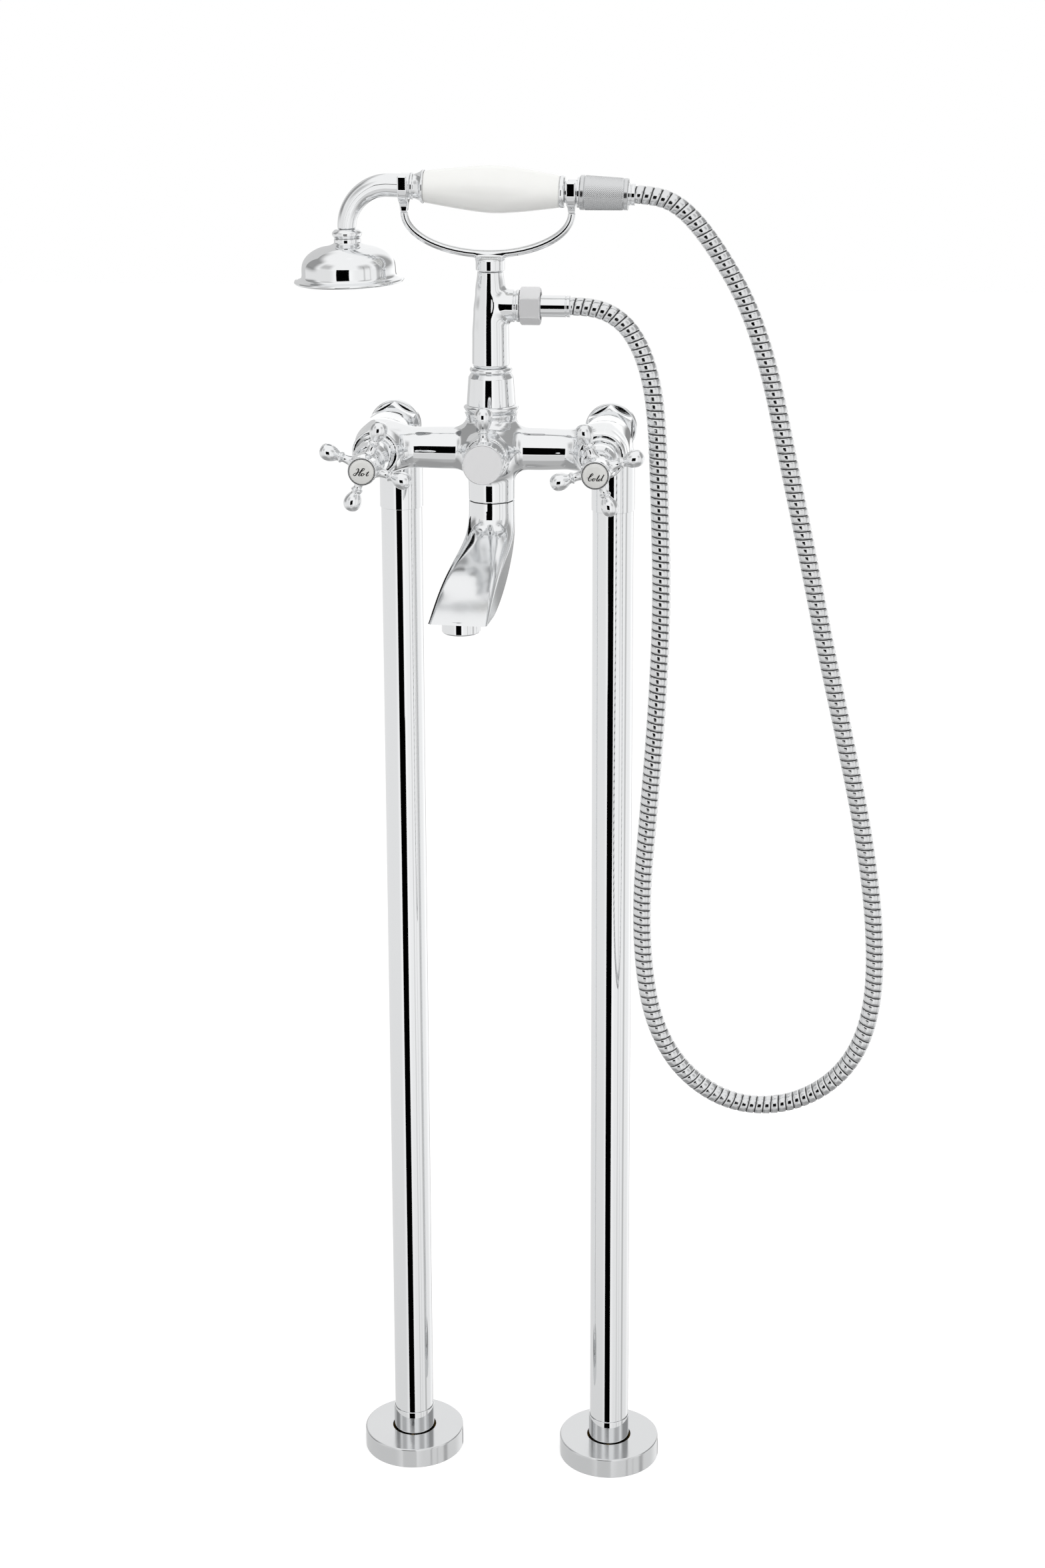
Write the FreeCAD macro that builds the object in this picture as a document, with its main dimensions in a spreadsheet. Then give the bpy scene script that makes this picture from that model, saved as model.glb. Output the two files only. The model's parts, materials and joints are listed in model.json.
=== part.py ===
"""Floor standing bath filler with a hand shower, as a parametric document.

Two standpipes carry a mixer body with two cross handles, a diverter lever and a
swivelling spout.  A column on the body carries a cradle, and the hand shower
rests in its two forks.  A metal hose joins the hand shower to the column.

Millimetres.  +Z is up, +X is to the right of somebody facing the filler, and the
handles face -Y.  The origin is on the floor, midway between the standpipes.
"""
import FreeCAD, Part
import math
import os
import Sketcher
from FreeCAD import Rotation, Vector

# ---------------------------------------------------------------------------
# Driving dimensions: name, millimetres or degrees, meaning
# ---------------------------------------------------------------------------
SIZES = [
    # standpipes and feet
    ("pipe_spacing", 150, "centre to centre of the two standpipes"),
    ("pipe_dia", 29, "outside of a standpipe"),
    ("pipe_wall", 1.2, "wall of a standpipe"),
    ("pipe_top_drop", 33, "from the bar's axis down to the top end of a standpipe"),
    ("supply_dia", 15, "outside of the water tube inside a standpipe"),
    ("supply_wall", 1, "wall of the water tube"),
    ("supply_top_drop", 25, "from the bar's axis down to the top end of a water tube"),
    ("inlet_dia", 18.6, "bore of the threaded water inlet under a foot"),
    ("inlet_depth", 15, "depth of the threaded water inlet"),
    ("plate_dia", 66, "floor plate"),
    ("plate_thick", 5, "thickness of the floor plate"),
    ("plate_socket_height", 25, "top of the socket that centres a standpipe"),
    ("screw_hole_dia", 6.5, "floor screw hole"),
    ("screw_spacing", 50, "distance between the two screw holes of one plate"),
    ("cover_dia", 75, "round cover over a floor plate"),
    ("cover_height", 15, "height of the cover"),
    ("cover_wall", 2, "wall of the cover"),
    ("cover_edge", 0.8, "bevel on the upper edge of the cover"),
    ("cover_hole_dia", 31, "hole in the cover for the foot sleeve"),
    ("sleeve_wall", 0.6, "wall of the sleeves round a standpipe"),
    ("foot_sleeve_top", 32.5, "top of the foot sleeve"),
    # elbows and unions
    ("bar_height", 804, "height of the mixer's cross bar above the floor"),
    ("bar_reach", 98, "from the standpipes forward to the cross bar"),
    ("sleeve_drop", 63, "from the bar's axis down to the lower end of an elbow's sleeve"),
    ("elbow_radius", 20, "bend radius of an elbow"),
    ("elbow_dia", 28, "outside of an elbow's bend"),
    ("elbow_bore", 13, "waterway of an elbow"),
    ("collar_dia", 35.5, "round collar at the end of an elbow"),
    ("collar_width", 6.5, "width of that collar"),
    ("tail_dia", 20, "neck of an elbow's tail"),
    ("tail_flange_dia", 24, "flange of the tail and neck of the mixer body"),
    ("tail_flange_width", 1.4, "width of the tail's flange"),
    ("washer_thick", 2, "rubber washers"),
    ("union_flats", 30, "across the flats of a union nut"),
    ("union_width", 15, "width of a union nut"),
    ("union_lip", 1.4, "lip of a union nut behind the flange"),
    # mixer body
    ("bar_end_dia", 26, "cross bar at its ends"),
    ("bar_mid_dia", 30, "cross bar beside the middle"),
    ("bar_bore", 12, "waterway of the cross bar"),
    ("housing_dia", 34, "valve housing"),
    ("housing_front_dia", 31, "front rim of a valve housing"),
    ("housing_nose", 23, "front face of a valve housing, from the bar's axis"),
    ("housing_back", 45, "rear shoulder of a valve housing"),
    ("valve_bore", 20.6, "bore that takes a valve"),
    ("valve_depth", 31, "depth of that bore"),
    ("core_dia", 38, "upright middle of the body at the bar"),
    ("core_seat_dia", 35, "seat under the column"),
    ("core_rise", 25.3, "from the bar's axis up to the top of the body"),
    ("core_bore", 14, "waterway of the upright middle"),
    ("boss_dia", 29, "diverter boss on the front of the body"),
    ("boss_length", 36, "from the bar's axis to the front of the fixed part of the boss"),
    ("diverter_bore", 14.6, "bore that takes the diverter"),
    ("diverter_depth", 22, "depth of that bore"),
    ("spout_collar_dia", 30.6, "collar under the body that takes the spout"),
    ("spout_collar_drop", 34.7, "from the bar's axis down to the lower end of that collar"),
    ("spigot_dia", 20, "spout's spigot inside the collar"),
    ("spigot_length", 14, "length of that spigot"),
    # valves and cross handles
    ("shroud_dia", 24, "ring between a housing and a handle"),
    ("shroud_bore", 19, "inside of that ring"),
    ("shroud_length", 25.5, "length of that ring"),
    ("shroud_lip", 2, "front wall of that ring, round the spindle"),
    ("valve_nose_dia", 17, "nose of a valve inside the ring"),
    ("valve_nose_length", 20, "length of that nose"),
    ("spindle_dia", 8, "spindle of a valve"),
    ("spindle_length", 64, "length of a spindle"),
    ("hub_dia", 17, "hub of a cross handle"),
    ("hub_length", 27, "length of the hub"),
    ("hub_recess", 7, "recess in the front of the hub"),
    ("hub_recess_dia", 12.6, "width of that recess"),
    ("arm_level", 15, "from the rear of the hub to the arms"),
    ("arm_tip", 31.5, "from the handle's axis to the tip of an arm"),
    ("arm_knob_dia", 11.4, "knob at the end of an arm"),
    ("arm_knob_length", 12.5, "length of the knob"),
    ("arm_neck_dia", 5, "thinnest part of an arm"),
    ("arm_root_dia", 10, "root of an arm"),
    ("arm_bead_dia", 7.6, "bead between the arm and its knob"),
    ("bezel_dia", 19, "ring round a button"),
    ("bezel_length", 8, "length of that ring"),
    ("button_dia", 15.8, "white button"),
    ("button_thick", 4.5, "thickness of the button at its edge"),
    ("button_crown", 0.9, "rise of the button's face"),
    ("button_proud", 0.6, "button's edge in front of its ring"),
    ("hot_turn", 20.6, "clockwise turn of the hot cross at rest, degrees"),
    ("cold_turn", 18.5, "anticlockwise turn of the cold cross at rest, degrees"),
    # diverter
    ("cap_dia", 26.8, "turning cap of the diverter"),
    ("cap_length", 18, "from the fixed part of the boss to the front face of the cap"),
    ("cap_edge", 0.7, "bevel on the cap's front edge"),
    ("lever_setback", 7.5, "from the cap's face back to the lever"),
    ("lever_top", 36.5, "from the cap's axis to the top of the lever"),
    ("lever_root_dia", 10.9, "foot of the lever"),
    ("lever_neck_dia", 5.4, "neck of the lever"),
    ("lever_knob_dia", 12.3, "knob of the lever"),
    ("lever_knob_length", 14.5, "length of that knob"),
    # spout
    ("spout_reach", 105, "from the spout's pivot to its outlet"),
    ("spout_rest_turn", 4.8, "turn of the spout to the left at rest, degrees"),
    ("spout_drop", 55.8, "from the lower end of the collar down to the spout's outlet"),
    ("spout_end_width", 38, "width of the spout at the outlet"),
    ("spout_end_depth", 27, "depth of the spout at the outlet"),
    ("spout_wall", 3, "wall of the spout"),
    ("aerator_dia", 24.6, "aerator housing"),
    ("aerator_drop", 7.5, "aerator housing below the spout"),
    ("aerator_socket", 6, "aerator housing inside the spout"),
    ("aerator_insert_dia", 20, "perforated insert of the aerator"),
    ("aerator_jet_dia", 1.6, "one hole of the insert"),
    # column
    ("base_ring_dia", 36.6, "ring at the foot of the column"),
    ("base_ring_height", 4.7, "height of that ring"),
    ("cone_bottom_dia", 32.5, "lower end of the column's cone"),
    ("cone_top_dia", 29.2, "upper end of the cone"),
    ("cone_height", 21.2, "height of the cone"),
    ("top_ring_dia", 28.8, "ring above the cone"),
    ("top_ring_height", 4, "height of that ring"),
    ("stem_dia", 24.4, "stem of the column"),
    ("stem_top_dia", 16.6, "top of the stem"),
    ("stem_straight", 42, "straight part of the stem"),
    ("stem_height", 63.6, "height of the stem"),
    ("stem_bore", 10, "waterway of the stem"),
    ("outlet_rise", 40.7, "from the foot of the stem up to the hose outlet"),
    ("outlet_dia", 22, "boss of the hose outlet"),
    ("outlet_reach", 19.5, "end of that boss, from the column's axis"),
    ("outlet_thread_dia", 18, "tail of the outlet inside its nut"),
    ("hose_nut_flats", 22.3, "across the flats of the hose nut"),
    ("hose_nut_length", 13.4, "length of the hose nut"),
    ("hose_ferrule_dia", 14.6, "ferrules at the ends of the hose"),
    ("lower_ferrule_end", 52.7, "end of the lower ferrule, from the column's axis"),
    # cradle
    ("pivot_dia", 11, "pivot of the cradle on the stem"),
    ("pivot_height", 6.5, "height of that pivot"),
    ("cradle_collar_dia", 19.1, "collar of the cradle"),
    ("cradle_collar_height", 9, "height of that collar"),
    ("cradle_screw_dia", 3.4, "set screw in the cradle's collar"),
    ("arc_half_width", 55, "half the width of the cradle's arc"),
    ("arc_depth", 27, "depth of the arc"),
    ("arc_shift", -1.4, "middle of the arc, from the column's axis"),
    ("arc_rise", 38.3, "from the top of the stem to the ends of the arc"),
    ("arc_dia", 5.4, "thickness of the arc"),
    ("fork_thick", 6.2, "fork, along the hand shower"),
    ("fork_prong", 3.6, "one prong of a fork, across the hand shower"),
    ("fork_height", 22.5, "height of a fork"),
    # hand shower
    ("handset_rise", 15.3, "from the ends of the arc up to the hand shower's axis, at the column"),
    ("handset_tilt", 1.8, "fall of the hand shower to the right, degrees"),
    ("grip_left", -43.2, "left end of the porcelain grip"),
    ("grip_length", 88.9, "length of the grip"),
    ("grip_end_dia", 21, "ends of the grip"),
    ("grip_mid_dia", 31.6, "middle of the grip"),
    ("grip_bore", 12, "bore of the grip"),
    ("tube_wall", 1.2, "wall of the tube inside the grip"),
    ("front_ferrule_length", 9.2, "flared ferrule left of the grip"),
    ("front_ferrule_dia", 22.4, "wide end of that ferrule"),
    ("handset_arm_dia", 15.8, "arm of the hand shower at the grip"),
    ("handset_arm_end_dia", 12, "arm at the head"),
    ("handset_arm_straight", 13.4, "straight part of the arm"),
    ("handset_arm_radius", 28, "bend radius of the arm"),
    ("handset_arm_bend", 93.5, "bend of the arm, degrees"),
    ("handset_arm_wall", 1.6, "wall of the arm"),
    ("end_ring_length", 3.6, "ring right of the grip"),
    ("end_ring_dia", 22, "width of that ring"),
    ("end_neck_dia", 14.6, "neck in the right fork"),
    ("end_neck_length", 8.2, "length of that neck"),
    ("end_flange_dia", 20.6, "flange beside the nut"),
    ("end_flange_length", 1.5, "length of that flange"),
    ("end_tail_length", 9, "threaded tail inside the nut"),
    ("end_tail_dia", 15, "width of that tail"),
    ("cone_nut_length", 31.5, "knurled nut of the hose"),
    ("cone_nut_dia", 23, "wide end of the knurled nut"),
    ("cone_nut_small_dia", 21, "narrow end of the knurled nut"),
    ("upper_ferrule_end", 95, "end of the upper ferrule along the hand shower"),
    # shower head
    ("head_collar_dia", 20, "collar between the arm and the head"),
    ("head_collar_height", 6, "height of that collar"),
    ("bell_neck_dia", 17.6, "neck of the bell"),
    ("bell_shoulder_dia", 55.8, "shoulder of the bell"),
    ("bell_wall_dia", 62.4, "upright wall of the bell"),
    ("bell_rim_dia", 73, "rolled rim of the bell"),
    ("bell_height", 29, "height of the bell"),
    ("bell_thick", 1.5, "sheet thickness of the bell"),
    ("rim_roll", 2.4, "thickness of the rolled rim"),
    ("spray_plate_dia", 58.6, "perforated spray plate"),
    ("spray_plate_thick", 2.4, "thickness of the spray plate"),
    ("spray_jet_dia", 1.5, "one hole of the spray plate"),
    # hose
    ("hose_dia", 12.4, "crests of the hose"),
    ("hose_valley_dia", 11.4, "valleys of the hose"),
    ("hose_bore", 8, "bore of the hose"),
    # clearances
    ("fit_gap", 0.15, "radial clearance of pieces fixed in one another"),
    ("run_gap", 0.3, "clearance between pieces that move"),
    ("end_gap", 0.1, "clearance between a ferrule and the end of the hose"),
]

# Centre line of the hose in the plane of the column, as (right, up): straight runs, which
# round arcs join.  It falls from the hand shower's ferrule, and climbs to the column's.
HOSE_FALL = [
    (0, 0), (12.55, -0.4), (26.65, -5.52), (40.05, -17.62), (56.05, -39.42), (74.05, -70.92),
    (89.05, -114.42), (102.05, -175.42), (115.55, -236.42), (129.05, -301.42), (145.05, -371.42),
    (159.05, -437.42), (167.55, -499.42), (168.55, -553.42), (159.05, -592.42), (137.55, -620.42),
    (105.05, -635.92),
]
HOSE_CLIMB = [
    (110.8, -560.9), (78.3, -538.9), (58.8, -503.9), (50.8, -459.9), (49.3, -407.9), (54.3, -343.9),
    (59.3, -271.9), (61.8, -199.9), (59.8, -131.9), (57.3, -69.9), (50.9, -37.4), (40.6, -16.1),
    (28.3, -5), (13.6, 0), (0, 0),
]
RIB_COUNT = 200
BEND_SHARE = 0.45
HANDLE_ARMS = 4

doc = FreeCAD.newDocument("BathFiller")
sheet = doc.addObject("Spreadsheet::Sheet", "Sizes")


class Size:
    """A number together with the sheet expression that gives it."""

    def __init__(self, value, text):
        self.value = float(value)
        self.text = text

    def __add__(self, other):
        return joined(self, "+", other, self.value + size(other).value)

    def __radd__(self, other):
        return size(other) + self

    def __sub__(self, other):
        return joined(self, "-", other, self.value - size(other).value)

    def __rsub__(self, other):
        return size(other) - self

    def __mul__(self, other):
        return joined(self, "*", other, self.value * size(other).value)

    def __rmul__(self, other):
        return size(other) * self

    def __truediv__(self, other):
        return joined(self, "/", other, self.value / size(other).value)

    def __neg__(self):
        return 0 - self


def size(number):
    """A plain number as a Size."""
    return number if isinstance(number, Size) else Size(number, repr(float(number)))


def joined(first, sign, second, value):
    return Size(value, "(%s %s %s)" % (size(first).text, sign, size(second).text))


def sine(angle):
    return Size(math.sin(math.radians(size(angle).value)), "sin(%s)" % size(angle).text)


def cosine(angle):
    return Size(math.cos(math.radians(size(angle).value)), "cos(%s)" % size(angle).text)


class SizeTable:
    """Every driving dimension by name, kept in the sheet."""

    def __init__(self):
        for row, (name, number, meaning) in enumerate(SIZES, start=1):
            sheet.set("A%d" % row, name)
            sheet.set("B%d" % row, repr(number))
            sheet.set("C%d" % row, meaning)
            sheet.setAlias("B%d" % row, name)
            setattr(self, name, Size(number, "Sizes.%s" % name))


d = SizeTable()
doc.recompute()

# ---------------------------------------------------------------------------
# Helpers: every one makes document objects whose sizes stay bound to the sheet
# ---------------------------------------------------------------------------
UP = (Vector(0, 0, 1), 0)
FRONT = (Vector(1, 0, 0), 90)
RIGHT = (Vector(0, 1, 0), 90)

nodes = []


def keep(thing, label):
    """Name an object as one sub-part."""
    thing.Label = label
    nodes.append(thing)
    return thing


def place(thing, at, facing=UP):
    """Put an object at a point, its own Z axis turned to face a direction."""
    axis, angle = facing
    point = [size(number) for number in at]
    turn = size(angle)
    where = Vector(*[number.value for number in point])
    thing.Placement = FreeCAD.Placement(where, Rotation(axis, turn.value))
    for letter, number in zip("xyz", point):
        thing.setExpression("Placement.Base." + letter, number.text)
    if isinstance(angle, Size):
        thing.setExpression("Placement.Rotation.Angle", turn.text)
    return thing


def primitive(kind, name, values, at, facing=UP):
    thing = doc.addObject(kind, name)
    for key, number in values.items():
        if isinstance(number, Size):
            setattr(thing, key, number.value)
            thing.setExpression(key, number.text)
        else:
            setattr(thing, key, number)
    return place(thing, at, facing)


def rod(name, across, length, at, facing=UP):
    values = {"Radius": size(across) / 2, "Height": size(length)}
    return primitive("Part::Cylinder", name, values, at, facing)


def hexagon(name, flats, length, at, facing=UP):
    corner = size(flats) / (2 * cosine(30))
    values = {"Polygon": 6, "Circumradius": corner, "Height": size(length)}
    return primitive("Part::Prism", name, values, at, facing)


def block(name, sides, at):
    """A box that stands on a point, centred across it."""
    wide, deep, high = [size(side) for side in sides]
    values = {"Length": wide, "Width": deep, "Height": high}
    corner = (size(at[0]) - wide / 2, size(at[1]) - deep / 2, at[2])
    return primitive("Part::Box", name, values, corner)


def fused(name, things):
    result = doc.addObject("Part::MultiFuse", name)
    result.Shapes = things
    return result


def cut(name, base, *tools):
    for number, tool in enumerate(tools, start=1):
        result = doc.addObject("Part::Cut", "%s_cut%d" % (name, number))
        result.Base = base
        result.Tool = tool
        base = result
    return base


def arc_between(start, end, sagitta):
    """Anticlockwise arc between two corners; a negative sagitta swaps its ends."""
    if sagitta < 0:
        start, end, sagitta = end, start, -sagitta
    chord = end - start
    side = Vector(chord.y, -chord.x, 0).normalize()
    return Part.Arc(start, (start + end) / 2 + side * sagitta, end)


def turned(name, profile, at, facing=UP):
    """A turned piece: a closed profile of (radius, height) revolved about its own Z.

    A third number on a point is the sagitta of a round side that ends there, and is
    positive where the side bulges to the right of its own way.
    """
    body = doc.addObject("PartDesign::Body", name)
    sketch = body.newObject("Sketcher::SketchObject", name + "_profile")
    plane = [item for item in body.Origin.OriginFeatures if item.Role == "XZ_Plane"][0]
    sketch.AttachmentSupport = [(plane, "")]
    sketch.MapMode = "FlatFace"
    corners = [(size(corner[0]), size(corner[1])) for corner in profile]
    spots = [Vector(across.value, up.value, 0) for across, up in corners]
    bulges = [size(corner[2] if len(corner) > 2 else 0) for corner in profile[1:] + profile[:1]]
    count = len(profile)
    for index, bulge in enumerate(bulges):
        ends = (spots[index], spots[(index + 1) % count])
        if bulge.value:
            sketch.addGeometry(arc_between(ends[0], ends[1], bulge.value))
        else:
            sketch.addGeometry(Part.LineSegment(ends[0], ends[1]))
    for index, bulge in enumerate(bulges):
        starts = 2 if bulge.value < 0 else 1
        finishes = 1 if bulges[index - 1].value < 0 else 2
        sketch.addConstraint(Sketcher.Constraint("Coincident", (index - 1) % count, finishes, index, starts))
        bind_corner(sketch, index, starts, corners[index])
        if bulge.value:
            bind_bulge(sketch, index, corners[index], corners[(index + 1) % count], bulge)
    turning = body.newObject("PartDesign::Revolution", name + "_turning")
    turning.Profile = sketch
    turning.ReferenceAxis = (sketch, ["V_Axis"])
    turning.Angle = 360
    return place(body, at, facing)


def bind_corner(sketch, index, end, corner):
    """Bind one corner's radius and height to the sheet."""
    for kind, axis, number in (("DistanceX", -2, corner[0]), ("DistanceY", -1, corner[1])):
        if number.value == 0:
            sketch.addConstraint(Sketcher.Constraint("PointOnObject", index, end, axis))
        else:
            bound = sketch.addConstraint(Sketcher.Constraint(kind, -1, 1, index, end, number.value))
            sketch.setExpression("Constraints[%d]" % bound, number.text)


def bind_bulge(sketch, index, start, end, bulge):
    """Bind an arc's radius to its chord and its sagitta."""
    across = end[0] - start[0]
    along = end[1] - start[1]
    radius = ((across * across + along * along) / 4 + bulge * bulge) / (2 * bulge)
    sign = 1 if bulge.value > 0 else -1
    bound = sketch.addConstraint(Sketcher.Constraint("Radius", index, abs(radius.value)))
    sketch.setExpression("Constraints[%d]" % bound, (sign * radius).text)


def ring(name, outside, inside, length, at, facing=UP, edge=0.4):
    """A plain ring with softened outer edges."""
    outer, inner, long = size(outside) / 2, size(inside) / 2, size(length)
    profile = [
        (inner, 0), (outer - edge, 0), (outer, edge), (outer, long - edge), (outer - edge, long), (inner, long),
    ]
    return turned(name, profile, at, facing)


def lofted(name, sections):
    """A loft through ellipses, each (wide, deep, point, facing)."""
    loops = []
    for number, (wide, deep, at, facing) in enumerate(sections):
        values = {"MajorRadius": size(wide) / 2, "MinorRadius": size(deep) / 2}
        loops.append(primitive("Part::Ellipse", "%s_section%d" % (name, number), values, at, facing))
    loft = doc.addObject("Part::Loft", name)
    loft.Sections = loops
    loft.Solid = True
    return loft


# ---------------------------------------------------------------------------
# Places that several pieces share
# ---------------------------------------------------------------------------
SIDES = (("left", -1), ("right", 1))
pipe_top = d.bar_height - d.pipe_top_drop
supply_top = d.bar_height - d.supply_top_drop
elbow_bottom = d.bar_height - d.sleeve_drop
tail_end = d.elbow_radius + d.collar_width + d.union_lip + d.fit_gap + d.tail_flange_width
neck_start = tail_end + d.washer_thick
housing_front = d.bar_reach + d.housing_nose
boss_front = d.bar_reach + d.boss_length
cap_front = boss_front + d.cap_length
valve_floor = housing_front - d.valve_depth
hub_back = housing_front + d.shroud_length + d.run_gap
core_top = d.bar_height + d.core_rise
spout_collar_bottom = d.bar_height - d.spout_collar_drop
spout_end = spout_collar_bottom - d.spout_drop
stem_bottom = core_top + d.base_ring_height + d.cone_height + d.top_ring_height
outlet_height = stem_bottom + d.outlet_rise
stem_top = stem_bottom + d.stem_height
arc_level = stem_top + d.arc_rise
handset_height = arc_level + d.handset_rise
grip_right = d.grip_left + d.grip_length
arm_joint = d.grip_left - d.front_ferrule_length
neck_left = grip_right + d.end_ring_length
flange_left = neck_left + d.end_neck_length
tail_left = flange_left + d.end_flange_length


def pipe_x(side):
    return side * d.pipe_spacing / 2


def handset_point(along, above=0):
    """A point given along and above the hand shower's own axis."""
    across = along * cosine(d.handset_tilt) + above * sine(d.handset_tilt)
    height = handset_height - along * sine(d.handset_tilt) + above * cosine(d.handset_tilt)
    return (across, -d.bar_reach, height)


def arm_bend_point(angle):
    """A point on the arm's bend, and the direction of the arm there."""
    bend_start = arm_joint - d.handset_arm_straight
    along = bend_start - d.handset_arm_radius * sine(angle)
    above = d.handset_arm_radius * (cosine(angle) - 1)
    return handset_point(along, above), (Vector(0, 1, 0), 270 - angle + d.handset_tilt)


HANDSET = (Vector(0, 1, 0), 90 + d.handset_tilt)
head_start, HEAD = arm_bend_point(d.handset_arm_bend)


def head_point(below):
    """A point on the shower head's axis, below the end of the arm."""
    lean = HEAD[1]
    return (head_start[0] + below * sine(lean), head_start[1], head_start[2] + below * cosine(lean))


# ---------------------------------------------------------------------------
# Feet, standpipes and elbows
# ---------------------------------------------------------------------------
def floor_plate(word, side):
    """Plate that is screwed to the floor, with a threaded inlet in its socket."""
    x = pipe_x(side)
    bore = d.pipe_dia - 2 * d.pipe_wall
    socket = bore / 2 - d.fit_gap
    inlet = d.inlet_dia / 2
    seat = d.supply_dia / 2 + d.fit_gap
    profile = [
        (inlet, 0), (d.plate_dia / 2, 0), (d.plate_dia / 2, d.plate_thick), (socket, d.plate_thick),
        (socket, d.plate_socket_height), (seat, d.plate_socket_height), (seat, d.inlet_depth),
        (inlet, d.inlet_depth),
    ]
    disc = turned(word + "_plate_disc", profile, (x, 0, 0))
    holes = []
    for name, way in (("front", -1), ("back", 1)):
        at = (x, way * d.screw_spacing / 2, -1)
        holes.append(rod("%s_plate_%s_hole" % (word, name), d.screw_hole_dia, d.plate_thick + 2, at))
    keep(cut(word + "_plate", disc, *holes), word + "_floor_plate")


def base_cover(word, side):
    """Round cover that hides the floor plate."""
    inner, outer = d.cover_dia / 2 - d.cover_wall, d.cover_dia / 2
    under = d.cover_height - d.cover_wall
    hole = d.cover_hole_dia / 2
    profile = [
        (inner, 0), (outer, 0), (outer, d.cover_height - d.cover_edge), (outer - d.cover_edge, d.cover_height),
        (hole, d.cover_height), (hole, under), (inner, under),
    ]
    keep(turned(word + "_cover", profile, (pipe_x(side), 0, 0)), word + "_base_cover")


def standpipe(word, side):
    """Standpipe, its foot sleeve, and the water tube inside it."""
    x = pipe_x(side)
    bore = d.pipe_dia - 2 * d.pipe_wall
    inside = d.pipe_dia + 2 * d.fit_gap
    outside = inside + 2 * d.sleeve_wall
    keep(ring(word + "_pipe", d.pipe_dia, bore, pipe_top - d.plate_thick, (x, 0, d.plate_thick)),
         word + "_standpipe")
    keep(ring(word + "_foot", outside, inside, d.foot_sleeve_top - d.plate_thick, (x, 0, d.plate_thick), UP, 0.25),
         word + "_foot_sleeve")
    keep(ring(word + "_tube", d.supply_dia, d.supply_dia - 2 * d.supply_wall, supply_top - d.inlet_depth,
              (x, 0, d.inlet_depth)), word + "_supply_tube")


def pipe_elbow(word, side):
    """Elbow from a standpipe forward to the mixer, with its collar and tail."""
    x = pipe_x(side)
    bend_axis = (x, -d.elbow_radius, d.bar_height - d.elbow_radius)
    sleeve_dia = d.pipe_dia + 2 * (d.fit_gap + d.sleeve_wall)
    bend_bottom = d.bar_height - d.elbow_radius
    quarter = Rotation(Vector(0, 1, 0), Vector(0, 0, 1), Vector(1, 0, 0))

    def bend(name, across):
        values = {"Radius1": d.elbow_radius, "Radius2": size(across) / 2, "Angle3": 90}
        return primitive("Part::Torus", name, values, bend_axis, (quarter.Axis, math.degrees(quarter.Angle)))

    def forward(name, across, start, end):
        return rod(name, across, end - start, (x, -size(start), d.bar_height), FRONT)

    collar_end = d.elbow_radius + d.collar_width
    outside = fused(word + "_elbow_outside", [
        rod(word + "_elbow_sleeve", sleeve_dia, bend_bottom - elbow_bottom - 3, (x, 0, elbow_bottom)),
        turned(word + "_elbow_shoulder", [(0, 0), (sleeve_dia / 2, 0), (d.elbow_dia / 2, 3, 0.6), (0, 3)],
               (x, 0, bend_bottom - 3)),
        bend(word + "_elbow_bend", d.elbow_dia),
        ring(word + "_elbow_collar", d.collar_dia, d.elbow_bore, d.collar_width, (x, -d.elbow_radius, d.bar_height),
             FRONT, 1.2),
        forward(word + "_elbow_tail", d.tail_dia, d.elbow_radius, tail_end),
        forward(word + "_elbow_flange", d.tail_flange_dia, tail_end - d.tail_flange_width, tail_end),
    ])
    pipe_socket = rod(word + "_elbow_socket", d.pipe_dia + 2 * d.fit_gap, pipe_top + d.fit_gap - elbow_bottom,
                      (x, 0, elbow_bottom))
    tube_socket = rod(word + "_elbow_tube_socket", d.supply_dia + 2 * d.fit_gap,
                      supply_top + d.fit_gap - elbow_bottom, (x, 0, elbow_bottom))
    waterway = [
        rod(word + "_elbow_rise", d.elbow_bore, bend_bottom - elbow_bottom, (x, 0, elbow_bottom)),
        bend(word + "_elbow_bore", d.elbow_bore),
        forward(word + "_elbow_run", d.elbow_bore, d.elbow_radius, collar_end + 10),
    ]
    keep(cut(word + "_elbow", outside, pipe_socket, tube_socket, *waterway), word + "_pipe_elbow")


def union(word, side):
    """Hexagonal union nut and its washer, between an elbow and the mixer."""
    x = pipe_x(side)
    start = d.elbow_radius + d.collar_width
    blank = hexagon(word + "_union_blank", d.union_flats, d.union_width, (x, -start, d.bar_height), FRONT)
    lip_hole = rod(word + "_union_lip_hole", d.tail_dia + 2 * d.fit_gap, d.union_lip + 1,
                   (x, -start, d.bar_height), FRONT)
    thread = rod(word + "_union_thread", d.tail_flange_dia + 2 * d.fit_gap, d.union_width,
                 (x, -start - d.union_lip, d.bar_height), FRONT)
    keep(cut(word + "_union", blank, lip_hole, thread), word + "_union_nut")
    keep(ring(word + "_washer", d.tail_flange_dia, d.elbow_bore, d.washer_thick, (x, -tail_end, d.bar_height),
              FRONT, 0.2), word + "_union_washer")


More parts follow.
